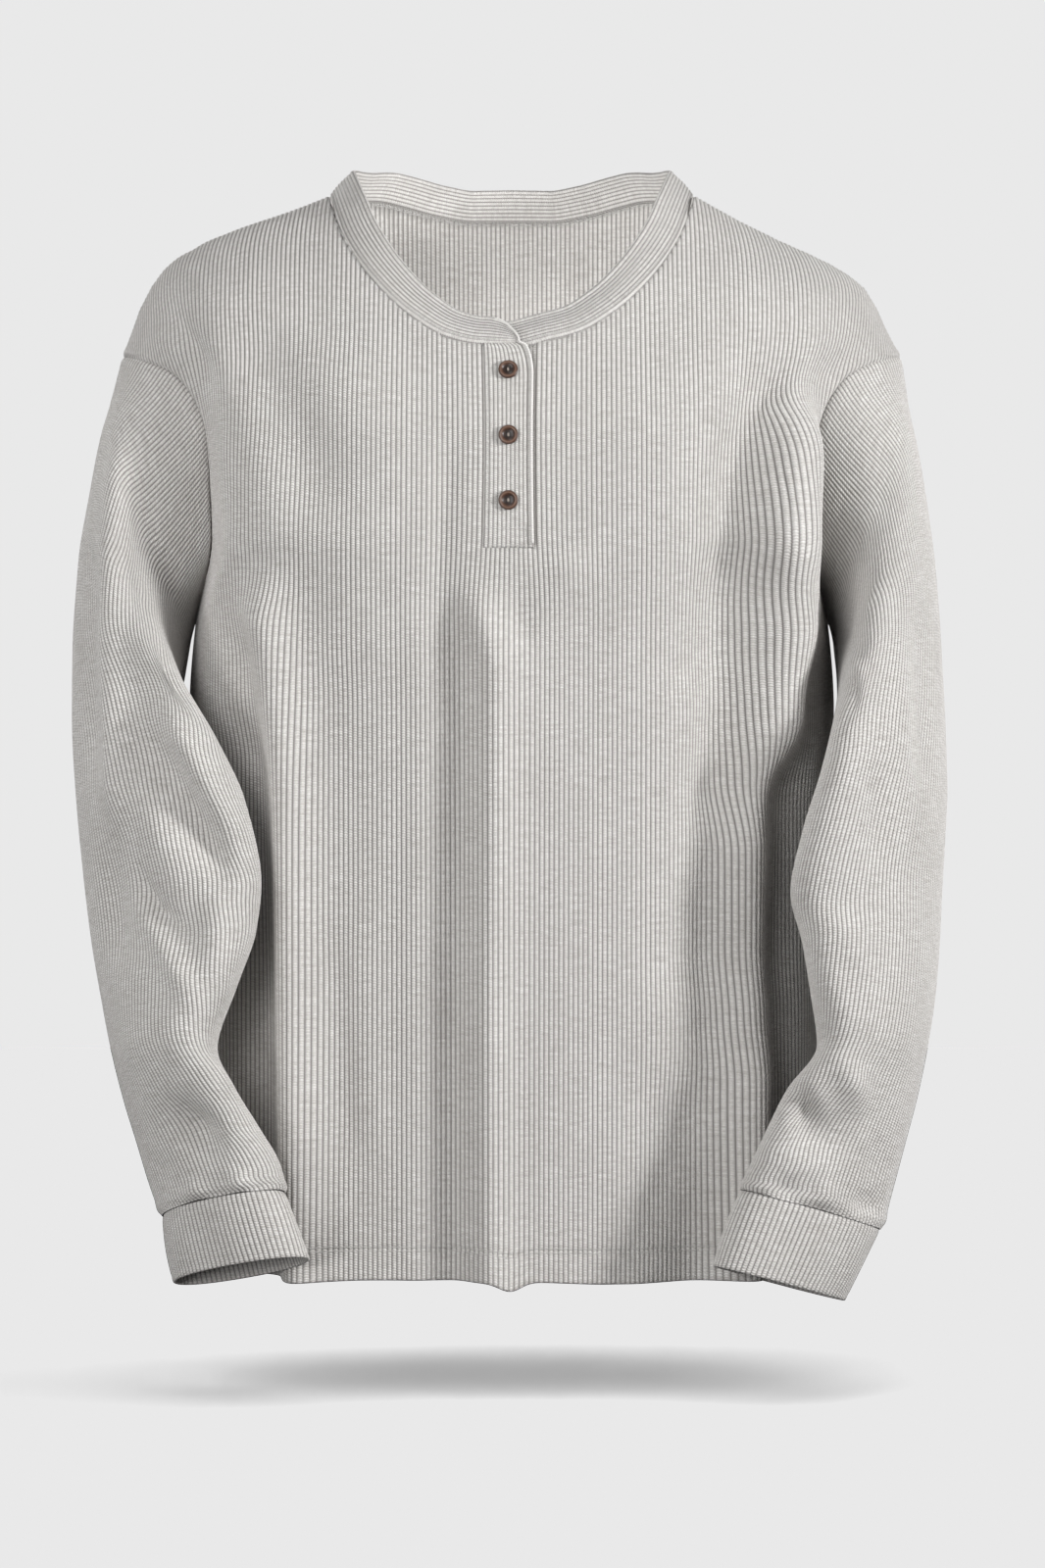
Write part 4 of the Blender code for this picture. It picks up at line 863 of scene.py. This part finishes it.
def panel_points(across, along, front):
    """Smooth points of a panel with its folds, and their outward normals."""
    points = body_surface(across, along)
    if front:
        low = np.clip(1 - along / HEM_DIP_RISE, 0, 1) ** 2
        for place, width, drop in HEM_DIPS:
            points[..., 2] -= swell(points[..., 0] - place, drop, width) * low
    way = 1 if front else -1
    calm = np.clip((1 - np.abs(across)) / SEAM_CALM, 0, 1)[None, :]
    folds = FOLDS_FRONT + CREASES_FRONT if front else FOLDS_BACK + CREASES_BACK
    lift = fold_heights(points[..., 0], points[..., 2], folds) * calm
    points = points + grid_normals(points) * way * lift[..., None]
    return points, grid_normals(points) * way


def build_panel(name, front):
    """The front or the back. A rib keeps its distance from the middle and ends at a side or an armhole."""
    foot = slit_foot()
    extra = (1.5, 3.0, 16.0, 17.7, 18.9, 20.0, 21.2, 23.0, SHOULDER_LINE - 3.0, SHOULDER_LINE - 1.2)
    places = np.unique(np.concatenate([np.linspace(0, SHOULDER_LINE, PANEL_ROWS + 1), extra, [foot]]))
    fine = np.linspace(-1, 1, FINE_COLUMNS + 1)
    fine_top = top_of_column(fine, front)
    if front:
        along = np.repeat(places[:, None], len(fine), axis=1)
        kept = np.minimum(along, fine_top)
    else:
        behind = np.interp(places, (0, UNDERARM, SHOULDER_LINE), (BACK_HEM, UNDERARM_BACK, SHOULDER_LINE))
        along = np.repeat(behind[:, None], len(fine), axis=1)
        kept = np.maximum(along, fine_top)
    fine_normals = panel_points(fine, along, front)[1]
    fine_normals[:, (0, -1), 1] = np.where((places <= UNDERARM)[:, None], 0.0, fine_normals[:, (0, -1), 1])
    fine_points = panel_points(fine, kept, front)[0]

    # Columns: flat distances from the middle, and where each one is in every row.
    arcs = np.array([lengths(row) for row in body_surface(fine, along)])
    arcs -= arcs[:, len(fine) // 2, None]
    half_count = int(math.ceil(np.abs(arcs).max() / RIB)) * RIB_STEPS
    offset = np.arange(-half_count, half_count + 1) * RIB / RIB_STEPS
    place = np.repeat(offset[None, :], len(places), axis=0)
    slit = []
    if front:
        bends = []
        for edge in (SLIT_LEFT, SLIT_RIGHT):
            edge_station = slit_station(edge)
            station = np.array([np.interp(edge_station, fine, row) for row in arcs])
            slit.append(int(np.argmin(np.abs(offset - station[places > foot].mean()))))
            bends.append(station - offset[slit[-1]])
        for row in range(len(places)):
            place[row] += np.interp(offset, (-SLIT_BEND, offset[slit[0]], offset[slit[1]], SLIT_BEND),
                                    (0, bends[0][row], bends[1][row], 0))
    across = np.array([np.interp(at, arc, fine) for at, arc in zip(place, arcs)])
    top = np.interp(across, fine, fine_top)
    if front:
        end = np.argmax(places[:, None] >= top - 1e-6, axis=0)
    else:
        end = np.argmax(behind[:, None] <= top + 1e-6, axis=0)
    rows = np.arange(len(places))[:, None]
    points, normals = (np.array([read_line(at, fine, row) for at, row in zip(across, values)])
                       for values in (fine_points, fine_normals))
    normals = unit(normals)
    first = np.array([np.searchsorted(row, arc[0], side="right") - 1 for row, arc in zip(place, arcs)])
    last = np.array([np.searchsorted(row, arc[-1], side="left") for row, arc in zip(place, arcs)])
    from_edge = np.maximum(np.minimum(place - arcs[:, :1], arcs[:, -1:] - place), 0)

    # Relief: ribs, a groove at each seam, a crease at the hem's stitching, a tucked edge at the neckline.
    lift = rib_height(offset)[None, :] * np.clip(from_edge / 3.0, 0, 1)
    lift = lift + dip(from_edge, 1.1, 1.3) + dip(places[:, None] - 19.5, 0.6, 1.8)
    lift = lift + swell(from_edge - 4.0, 0.4, 2.5)
    lift = lift + dip(SHOULDER_LINE - places[:, None], 0.8, 1.5)
    lift = np.where((rows >= end) & (top < SHOULDER_LINE - 0.01), -1.2, lift)
    if front:
        beside = dip(offset - offset[slit[0]], 0.9, 1.6) + dip(offset - offset[slit[1]], 2.0, 2.0)
        lift = lift + np.where(places[:, None] >= foot, beside[None, :], 0.0)
    face = points + normals * lift[..., None]

    # The turned-up hem: rows inside, then the lip.
    turn = []
    for height, inwards in HEM_TURN:
        row = int(np.searchsorted(places, height, side="right")) - 1
        share = (height - places[row]) / (places[row + 1] - places[row])
        turn.append(points[row] * (1 - share) + points[row + 1] * share + normals[0] * inwards)
    points = np.concatenate([np.array(turn), face[1:]])
    heights = np.concatenate([[height for height, _ in HEM_TURN], places[1:]])
    shift = len(HEM_TURN) - 1
    columns = np.arange(len(offset))[None, :]
    number = grid_numbers(points)
    number = number[np.minimum(np.arange(points.shape[0])[:, None], end[None, :] + shift), columns]
    first, last = (np.concatenate([np.repeat(edge[:1], shift), edge])[:, None] for edge in (first, last))
    number = np.take_along_axis(number, np.clip(columns, first, last), axis=1)
    keep = np.ones((points.shape[0] - 1, len(offset) - 1), bool)
    if front:
        start = int(np.argmin(np.abs(places - foot))) + shift
        keep[start:, slit[0]:slit[1]] = False
    return make_cloth(name, points, grid_triangles(number, keep, flip=not front),
                      grid_map(offset[None, :], heights[:, None]))


# ---------------------------------------------------------------- sleeves and cuffs

def sleeve_tube(table, side, folds_front, folds_back):
    """The sleeve's smooth form with folds: rows from armhole to wrist, columns once round."""
    climb = np.linspace(UNDERARM, SHOULDER_LINE, 80)
    fall = np.interp(climb, (UNDERARM, SHOULDER_LINE), (UNDERARM_BACK, SHOULDER_LINE))
    rise_points = body_surface(np.array([float(side)]), climb[:, None])[:, 0]
    fall_points = body_surface(np.array([float(side)]), fall[:, None])[::-1, 0]
    rise_turns = lengths(rise_points) / lengths(rise_points)[-1] / 2
    fall_turns = 0.5 + lengths(fall_points) / lengths(fall_points)[-1] / 2
    turns = np.linspace(0, 1, SLEEVE_TURNS + 1)
    loop = read_line(turns, np.concatenate([rise_turns, fall_turns[1:]]),
                     np.concatenate([rise_points, fall_points[1:]]))
    rings = np.array([loop] + [ring(*parts, turns) for parts in zip(*sleeve_sections(table, side))])
    knots = lengths(rings[:, :-1].mean(axis=1))
    whole = knots[-1]
    ends = (1.2, 3.0, 6.0)
    along = np.unique(np.concatenate([np.linspace(0, whole, SLEEVE_MESH_ROWS + 1), ends,
                                      [whole - end for end in ends]]))
    points = smooth_curve(knots, rings, along)
    normals = ring_normals(points, side)
    calm = (np.clip(along / 50, 0, 1) * np.clip((whole - along) / 40, 0, 1))[:, None]
    x, z = points[..., 0], points[..., 2]
    in_front = np.clip(-normals[..., 1] * 2, 0, 1)
    lift = fold_heights(x, z, folds_front) * in_front
    lift += fold_heights(x, z, folds_back) * np.clip(normals[..., 1] * 2, 0, 1)
    puckers = fold_heights(x, z, PUCKERS_LEFT if side < 0 else PUCKERS_RIGHT) * in_front
    lift = lift * calm + puckers * np.clip((whole - along) / 8, 0, 1)[:, None]
    points = points + normals * lift[..., None]
    return points, ring_normals(points, side), along


def build_sleeve(name, table, side, folds_front, folds_back):
    """Ribs keep their distance from the sleeve's outer line and run off at the underarm seam."""
    tube, out, along = sleeve_tube(table, side, folds_front, folds_back)
    round_it = np.array([lengths(row) for row in tube])
    half = round_it[:, SLEEVE_TURNS // 2]
    rest = round_it[:, -1] - half
    step = RIB / RIB_STEPS
    offset = np.arange(-math.ceil(half.max() / step), math.ceil(rest.max() / step) + 1) * step
    points = np.empty((len(tube), len(offset), 3))
    flat = np.empty((len(tube), len(offset), 2))
    number = grid_numbers(points)
    for i in range(len(tube)):
        place = np.clip(offset, -half[i], rest[i])
        points[i], normals = (read_line(place, round_it[i] - half[i], grid[i]) for grid in (tube, out))
        if i == 0:
            edge_normals = unit(normals)
        from_seam = np.minimum(place + half[i], rest[i] - place)
        from_wrist = along[-1] - along[i]
        ends = np.minimum(along[i], from_wrist)
        lift = rib_height(place) * np.clip(from_seam / 3.0, 0, 1) * np.clip(ends / 2.0, 0.3, 1)
        lift = lift + dip(from_seam, 0.9, 1.4) + dip(along[i], 1.0, 1.4) + dip(from_wrist, 0.9, 1.6)
        lift = lift + swell(from_wrist - 5.0, 0.9, 3.0)
        points[i] += unit(normals) * lift[:, None]
        flat[i] = grid_map(place, along[i])
        first = int(np.argmax(offset > -half[i])) - 1
        last = len(offset) - int(np.argmax(offset[::-1] < rest[i]))
        number[i] = number[i, np.clip(np.arange(len(offset)), first, last)]

    # The seam allowance: a row tucked under the panel's edge, so nothing shows through at the armhole.
    tuck = points[0] - edge_normals * TUCK_IN - unit(points[1] - points[0]) * TUCK_BACK
    points = np.concatenate([tuck[None], points])
    flat = np.concatenate([flat[:1] - (0.0, TUCK_BACK), flat])
    number = np.concatenate([number[:1], number + len(offset)])
    return make_cloth(name, points, grid_triangles(number, flip=side > 0), flat)


def build_cuff(name, table, edge, side):
    """A doubled band with ribs along it, gathered a little at its seam."""
    centre, reach, depth = (part[-1] for part in sleeve_sections(table, side))
    outer_end, inner_end = (np.array(end) * (side, 1, 1) for end in edge[:2])
    low_centre = (outer_end + inner_end) / 2
    axis = unit(np.cross(reach, depth))
    axis *= np.sign(np.dot(axis, low_centre - centre))
    columns = CUFF_RIBS * RIB_STEPS
    turns = np.arange(columns + 1) / columns
    top = ring(centre + axis * CUFF_SEAM, reach * CUFF_GATHER, depth * CUFF_GATHER, turns)
    low = ring(low_centre, (inner_end - outer_end) / 2, unit(depth) * edge[2], turns)
    out = ring_normals(np.stack([top, low]), side)
    tall = np.linalg.norm(low - top, axis=1).mean()
    down = unit(low - top)
    angle = turns * 2 * math.pi
    wave = 0.9 * np.sin(angle * 3 + side) + 0.6 * np.sin(angle * 7 + 2 * side)
    down_it = np.concatenate([[0, 0.04, 0.09], np.linspace(0.15, 0.86, 10), [0.9, 0.93, 0.97]])
    bow = 0.7 * np.sin(math.pi * down_it) + dip(down_it * tall, 0.7, 1.5) + dip((1 - down_it) * tall - 3.2, 0.25, 1.0)
    outside = [(t, away, 1.0) for t, away in zip(down_it, bow)]
    lip = [(1 + 0.9 / tall * math.sin(a), -FOLDED / 2 * (1 - math.cos(a)), 0.5 + 0.5 * math.cos(a))
           for a in np.radians((30, 60, 90, 120, 150, 180))]
    inside = [(t, -FOLDED, -0.5) for t in (0.9, 0.6, 0.3, 0.0)]
    rows = []
    flat = []
    length = 0.0
    offset = np.arange(columns + 1) * RIB / RIB_STEPS
    ridge = rib_height(offset)
    for t, away, relief in outside + lip + inside:
        base = top + (low - top) * min(t, 1.0) + down * max(t - 1.0, 0.0) * tall
        normal = unit(out[0] * (1 - min(t, 1.0)) + out[1] * min(t, 1.0))
        soft = wave * math.sin(math.pi * min(t, 1.0)) * 0.5
        rows.append(base + normal * (away + ridge * relief * 0.8 + soft)[:, None])
        length = length + (np.linalg.norm(rows[-1] - rows[-2], axis=1).mean() if len(rows) > 1 else 0.0)
        flat.append(grid_map(offset, length))
    points = np.array(rows)
    return make_cloth(name, points, grid_triangles(grid_numbers(points), flip=side > 0), np.array(flat))


# ---------------------------------------------------------------- placket and neckband

def placket_grid(left, right, foot, corner, across_share, row_count):
    """Smooth points and normals of a strip in or behind the slit; across_share runs 0..1 over its width."""
    columns = np.linspace(left, right, 81)
    ends = top_of_column(columns, True)
    top = top_of_column(np.array([0.0]), True)[0]
    places = np.linspace(foot, top, row_count + 1)
    bend = np.clip((places - top) / PLACKET_CORNER_LENGTH + 1, 0, 1)
    edge = right - corner * (1 - np.sqrt(1 - bend ** 2))
    grid, out = panel_points(columns, foot + (ends - foot) * ((places - foot) / (top - foot))[:, None], True)
    lines = [left + (end - left) * across_share for end in edge]
    points, normals = (np.array([read_line(line, columns, row) for line, row in zip(lines, values)])
                       for values in (grid, out))
    return points, unit(normals), places - foot


def build_strip(name, points, normals, heights, offsets, rise):
    """A closed strip: its face with relief, rounded sides, and a plain underside."""
    face = points + normals * rise[..., None]
    under = points + normals * (np.minimum(rise, np.median(rise)) - FOLDED)[..., None]
    steps = np.linspace(0, 1, 5)[1:-1]
    rows = []
    for i in range(len(points)):
        right = [face[i, -1] * (1 - t) + under[i, -1] * t + unit(points[i, -1] - points[i, -2]) * 0.7
                 * math.sin(math.pi * t) for t in steps]
        left = [under[i, 0] * (1 - t) + face[i, 0] * t + unit(points[i, 0] - points[i, 1]) * 0.3
                * math.sin(math.pi * t) for t in steps]
        rows.append(np.concatenate([face[i], right, under[i, ::-1], left, face[i, :1]]))
    rows = np.array(rows)
    flat_u = np.concatenate([offsets, offsets[-1] + 2 * steps, offsets[::-1], offsets[0] - steps, offsets[:1]])
    number = grid_numbers(rows)
    number[:, -1] = number[:, 0]
    # Ends: each face point is joined to the underside's point behind it.
    count = len(offsets)
    behind = count + len(steps)
    ends = [grid_triangles(np.stack([row[:count], row[behind:behind + count][::-1]]), flip=flip)
            for row, flip in ((number[0], False), (number[-1], True))]
    return make_cloth(name, rows, np.concatenate([grid_triangles(number)] + ends),
                      grid_map(flat_u[None, :], heights[:, None]))


def build_placket(pieces):
    """Both layers. Returns the face of the upper one, with normals and heights, and each layer's top row."""
    left, right = slit_station(SLIT_LEFT), slit_station(SLIT_RIGHT)
    per_mm = (right - left) / PLACKET_WIDTH
    foot = slit_foot()
    share = np.linspace(0, 1, PLACKET_STEPS + 1)
    points, normals, heights = placket_grid(left - 0.2 * per_mm, right - 0.3 * per_mm, foot + 0.3,
                                            PLACKET_CORNER * per_mm, share, PLACKET_STEPS)
    offsets = (share - 0.5) * PLACKET_WIDTH
    from_right = (1 - share) * PLACKET_WIDTH
    from_left = share * PLACKET_WIDTH
    rise = PLACKET_RAISE + 0.55 * RIB_RELIEF * rounded_ribs(offsets, PLACKET_RIB, 0.6) * (from_right > 3.2)
    rise = rise + swell(from_right - 1.0, 0.75, 0.9) + dip(from_right - 3.0, 0.5, 0.7)
    rise = rise + dip(from_left - 1.9, 0.35, 0.6) + dip(from_left, 0.5, 0.7)
    rise = np.repeat(rise[None, :], len(heights), axis=0)
    for level in BOX_LEVELS:
        rise = rise + dip(heights - level, 0.3, 0.8)[:, None]
    rise = rise + dip(heights, 0.7, 0.8)[:, None]
    pieces["placket_top"] = build_strip("placket_top", points, normals, heights, offsets, rise)

    share = np.linspace(0, 1, 49)
    under, under_out, under_heights = placket_grid(UNDERLAP_LEFT * per_mm, UNDERLAP_RIGHT * per_mm,
                                                   foot - UNDERLAP_BELOW_FOOT, 0.0, share, 36)
    offsets = (share - 0.5) * (UNDERLAP_RIGHT - UNDERLAP_LEFT)
    under_rise = UNDERLAP_RISE + 0.3 * rounded_ribs(offsets, PLACKET_RIB, 0.9)
    under_rise = np.repeat(under_rise[None, :], len(under_heights), axis=0)
    pieces["placket_under"] = build_strip("placket_under", under, under_out, under_heights, offsets, under_rise)
    reach = share < 0.5
    return (points + normals * (rise[..., None] + 0.12), normals, heights, (points[-1, 1:], normals[-1, 1:]),
            (under[-1][reach], under_out[-1][reach]))


def neck_seam(over, under):
    """The seam line round the neck, from the overlap's corner to the underlap's end, with normals."""
    def line(start, stop, count, front):
        across = np.linspace(start, stop, count)
        across = across if front else across[1:-1]
        ends = np.array([[-1.0], [0.0]]) if front else np.array([[1.0], [0.0]])
        points, out = panel_points(across, top_of_column(across, front) + ends, front)
        return points[1], out[1]

    parts = [[values[::-1] for values in over],
             line(slit_station(SLIT_LEFT), -NECK_CORNER, 70, True),
             line(-NECK_CORNER, NECK_CORNER, 121, False),
             line(NECK_CORNER, slit_station(SLIT_RIGHT), 70, True),
             [values[::-1] for values in under]]
    return np.concatenate([part[0] for part in parts]), np.concatenate([part[1] for part in parts])


def build_neckband(over, under):
    """A folded band on the neck seam: ribs along it outside, a round fold on top, plain inside."""
    seam, seam_out = neck_seam(over, under)
    place = lengths(seam)
    over_end = place[len(over[0])]
    under_start = place[-len(under[0])]
    keep = np.concatenate([[True], np.diff(place) > 0.05])
    place, seam, seam_out = place[keep], seam[keep], seam_out[keep]
    run = unit(np.gradient(seam, place, axis=0))
    inward = np.stack([-seam[:, 0], NECK_AXIS_DEPTH - seam[:, 1], np.zeros(len(seam))], axis=1)
    turn = np.degrees(np.arctan2(np.abs(seam[:, 0]), NECK_AXIS_DEPTH - seam[:, 1]))
    lean = np.radians(np.interp(turn, *zip(*BAND_LEAN)))
    up = unit(inward) * np.cos(lean)[:, None] + np.array((0, 0, 1.0)) * np.sin(lean)[:, None]
    up = unit(up - run * np.sum(up * run, axis=1, keepdims=True))
    out = unit(np.cross(up, run))
    rise = np.interp(place, (over_end, over_end + BAND_SHIFT, under_start - BAND_SHIFT, under_start),
                     (PLACKET_RAISE, BAND_RISE, BAND_RISE, UNDER_BAND_RISE))
    corner = np.clip(place / over_end, 0, 1)
    width = BAND_WIDTH * np.sqrt(np.clip(1 - (1 - corner) ** 2, BAND_CORNER_LEAST, 1))

    # The band's section: how far up it each point is, and how far out.
    spots = []
    for level in np.linspace(0, 1, BAND_RIBS * RIB_STEPS + 1):
        ridge = 0.55 * (abs(math.sin(math.pi * level * BAND_RIBS)) ** 0.7 - 0.5)
        at_edges = (swell((1 - level) * BAND_WIDTH, 0.55, 1.6) + dip(level * BAND_WIDTH, 0.9, 1.0)
                    + dip(level * BAND_WIDTH - BAND_STITCHES, 0.3, 0.8))
        spots.append((level, BAND_BOW * math.sin(math.pi * level) + ridge + at_edges))
    spots += [(1 + BAND_LIP * math.sin(a) / BAND_WIDTH, 0.5 - (FOLDED / 2 + 0.3) * (1 - math.cos(a)))
              for a in np.radians((30, 60, 90, 120, 150))]
    inside = (1.0, 0.8, 0.6, 0.4, 0.2, 0.0)
    spots += [(level, BAND_BOW * math.sin(math.pi * level) - FOLDED) for level in inside]
    rows = [seam + up * level * width[:, None] + unit(out + seam_out * max(0.0, 0.1 - level) * 8)
            * (rise + away)[:, None] for level, away in spots]
    points = np.array(rows + rows[:1])
    number = grid_numbers(points)
    number[-1] = number[0]
    outer_rows = len(spots) - len(inside) - 3
    ends = []
    for column, turned in ((0, False), (-1, True)):
        face = number[:outer_rows + 1, column]
        back = number[outer_rows + 1:, column][::-1]
        back = back[np.round(np.linspace(0, len(back) - 1, len(face))).astype(int)]
        ends.append(grid_triangles(np.stack([face, back]), flip=turned))
    made = make_cloth("neckband", points, np.concatenate([grid_triangles(number, flip=True)] + ends),
                      grid_map(lengths(points[:, len(seam) // 2])[:, None], place[None, :]))
    return made, seam, up, out, rise, width


# ---------------------------------------------------------------- buttons, cord and thread

def build_button(number, centre, outward):
    """A turned button: dished middle, raised rim with a fine line, rounded edge. Returns its two axes."""
    x_axis = unit(np.cross((0.0, 1.0, 0.0), outward))
    y_axis = np.cross(outward, x_axis)
    turns = np.linspace(0, 2 * math.pi, 73)
    radius, height = np.array(BUTTON_PROFILE).T[:, :, None]
    u, v = radius * np.cos(turns), radius * np.sin(turns)
    points = centre + outward * height[..., None] + u[..., None] * x_axis + v[..., None] * y_axis
    index = grid_numbers(points)
    index[:, -1] = index[:, 0]
    index[0] = index[0, 0]
    index[-1] = index[-1, 0]
    make_piece(f"button_{number}_look", points, grid_triangles(index, flip=True), grid_map(u, v), button_look(),
               f"button_{number}")
    return x_axis, y_axis


def build_threads(name, starts, ends, radius, look):
    """Short rounded threads from starts to ends, as one mesh."""
    sides, shape = 6, ((0.0, 0.35), (0.12, 0.85), (0.5, 1.0), (0.88, 0.85), (1.0, 0.35))
    along = unit(ends - starts)
    first = unit(np.cross(along, np.where(np.abs(along[:, :1]) < 0.8, (1.0, 0, 0), (0, 1.0, 0))))
    circle = circles(first, np.cross(along, first), sides)
    points = np.stack([(starts + (ends - starts) * t)[:, None] + circle * (radius * size) for t, size in shape],
                      axis=1)
    grid = np.arange(len(shape) * sides).reshape(len(shape), sides)
    base = (np.arange(len(starts)) * grid.size)[:, None, None]
    flat = np.zeros((points.size // 3, 2))
    flat[:, 0] = np.tile(np.linspace(0, 3, sides), len(starts) * len(shape))
    flat[:, 1] = np.repeat(np.arange(len(starts)) * 3.0, grid.size)
    make_piece(name + "_look", points, (base + tube_triangles(grid)[None]).reshape(-1, 3), flat, look)


def build_cord(name, line, radius):
    """A round cord along a line, with closed ends."""
    line = line[np.concatenate([[True], np.diff(lengths(line)) > 0.05])]
    line = even_curve(line, np.linspace(0, 1, 161))
    run = unit(np.gradient(line, axis=0))
    first = unit(np.cross(run, (0.0, 1.0, 0.0)))
    sides = 12
    place = lengths(line)
    size = radius * np.sqrt(np.clip(np.minimum(place, place[-1] - place) / radius, 0.05, 1))
    points = line[:, None] + circles(first, np.cross(run, first), sides) * size[:, None, None]
    angle = np.arange(sides) / sides * 2 * math.pi
    make_piece(name + "_look", points, tube_triangles(grid_numbers(points)),
               grid_map(angle[None, :] * radius, place[:, None]), cord_look())


def stitch_line(path, normals, lift, length=STITCH_LENGTH, gap=STITCH_GAP, tilt=0.0):
    """Starts and ends of stitches along a path on the cloth's face; tilt slants them."""
    place = lengths(path)
    count = int(place[-1] // (length + gap))
    begin = np.arange(count) * (length + gap) + (place[-1] - count * (length + gap)) / 2
    start, start_out = read_line(begin, place, path), read_line(begin, place, normals)
    end, end_out = read_line(begin + length, place, path), read_line(begin + length, place, normals)
    side = np.cross(start_out, unit(end - start))
    return start + start_out * lift - side * tilt, end + end_out * lift + side * tilt


def add_stitches(name, lines, radius=STITCH_RADIUS):
    starts, ends = (np.concatenate(values) for values in zip(*lines))
    build_threads(name, starts, ends, radius, thread_look("sewing_thread", *SEWING_THREAD))


def build_buttons(face, face_out):
    """Buttons down the placket's middle, each held by two threads."""
    middle, middle_out = face[:, PLACKET_STEPS // 2], face_out[:, PLACKET_STEPS // 2]
    starts, ends = [], []
    for number, height in enumerate(BUTTON_HEIGHTS, start=1):
        outward = unit(read_line(height, middle[:, 2], middle_out))
        centre = read_line(height, middle[:, 2], middle) + outward * 0.1
        across, upward = build_button(number, centre, outward)
        for shift in (-0.3, 0.3):
            starts.append(centre + outward * 1.5 + across * shift - upward * 1.15)
            ends.append(centre + outward * 1.5 + across * shift + upward * 1.15)
    build_threads("button_thread", np.array(starts), np.array(ends), 0.24,
                  thread_look("button_thread", *BUTTON_THREAD))


def stitch_placket(face, face_out, heights):
    """The left line, both cross lines of the box, and its right line beside the rolled edge."""
    left, right = (int(round(t * PLACKET_STEPS)) for t in (1.9 / PLACKET_WIDTH, 1 - 3.6 / PLACKET_WIDTH))
    last = int(np.searchsorted(heights, BOX_HEIGHT))
    lines = [stitch_line(face[1:, left], face_out[1:, left], 0.02),
             stitch_line(face[1:last + 1, right], face_out[1:last + 1, right], 0.02)]
    for level in BOX_LEVELS:
        row = np.interp(level, heights, np.arange(len(heights)))
        low = int(np.clip(math.floor(row), 0, len(heights) - 2))
        path, path_out = (values[low] * (1 - (row - low)) + values[low + 1] * (row - low)
                          for values in (face, face_out))
        lines.append(stitch_line(path[left:right + 1], path_out[left:right + 1], 0.02, 2.2, 0.5))
    add_stitches("placket_stitches", lines)


def stitch_neck(seam, up, out, rise):
    """A row near the neckband's lower edge, and the covered seam inside the back neck."""
    path = seam + up * BAND_STITCHES + out * (rise + BAND_BOW * 0.4 + 0.12)[:, None]
    add_stitches("neckband_stitches", [stitch_line(path, out, 0.0, 2.4, 0.8)])
    behind = (np.abs(seam[:, 0]) < 108) & (seam[:, 1] > -5)
    lines = []
    for depth, tilt in ((-1.6, 0.5), (-0.2, -0.5)):
        path = seam[behind] + up[behind] * depth - out[behind] * (FOLDED - 0.1)
        lines.append(stitch_line(path, -out[behind], 0.25, 2.0, 0.25, tilt))
    add_stitches("back_neck_cover_stitch", lines, 0.42)


def stitch_hem():
    """Two rows of stitches round the hem."""
    across = np.linspace(-0.995, 0.995, 400)
    lines = []
    for front in (True, False):
        for height in HEM_STITCH_ROWS:
            along = height if front else np.interp(height, (0, UNDERARM), (BACK_HEM, UNDERARM_BACK))
            grid = np.full((3, 400), along) + np.array([[-1.0], [0.0], [1.0]]) * (1 if front else -1)
            path, path_out = panel_points(across, grid, front)
            lines.append(stitch_line(path[1] + path_out[1] * 0.3, path_out[1], 0.0, 2.5, 0.9))
    add_stitches("hem_stitches", lines)


# ---------------------------------------------------------------- the shirt

def build_shirt():
    pieces = {"front": build_panel("front", True), "back": build_panel("back", False)}
    for side, word, table, folds, hidden, edge in (
            (-1, "left", SLEEVE_LEFT, FOLDS_SLEEVE_LEFT + CREASES_SLEEVE_LEFT, CREASES_SLEEVE_LEFT_BACK,
             CUFF_EDGE_LEFT),
            (1, "right", SLEEVE_RIGHT, FOLDS_SLEEVE_RIGHT + CREASES_SLEEVE_RIGHT, CREASES_SLEEVE_RIGHT_BACK,
             CUFF_EDGE_RIGHT)):
        pieces["sleeve_" + word] = build_sleeve("sleeve_" + word, table, side, folds, hidden)
        pieces["cuff_" + word] = build_cuff("cuff_" + word, table, edge, side)
    face, face_out, heights, over, under = build_placket(pieces)
    pieces["neckband"], seam, up, out, rise, width = build_neckband(over, under)

    # The rolled edge of the overlap: a cord up the placket's right side and round the band's corner.
    turn = lengths(seam) < CORD_REACH
    corner = seam[turn] + up[turn] * width[turn, None] + out[turn] * rise[turn, None]
    path = np.concatenate([face[1:, -1], corner])
    path_out = np.concatenate([face_out[1:, -1], out[turn]])
    build_cord("placket_cord", path + path_out * 0.3, CORD_RADIUS)

    build_buttons(face, face_out)
    stitch_placket(face, face_out, heights)
    stitch_neck(seam, up, out, rise)
    stitch_hem()


build_stage()
build_shirt()
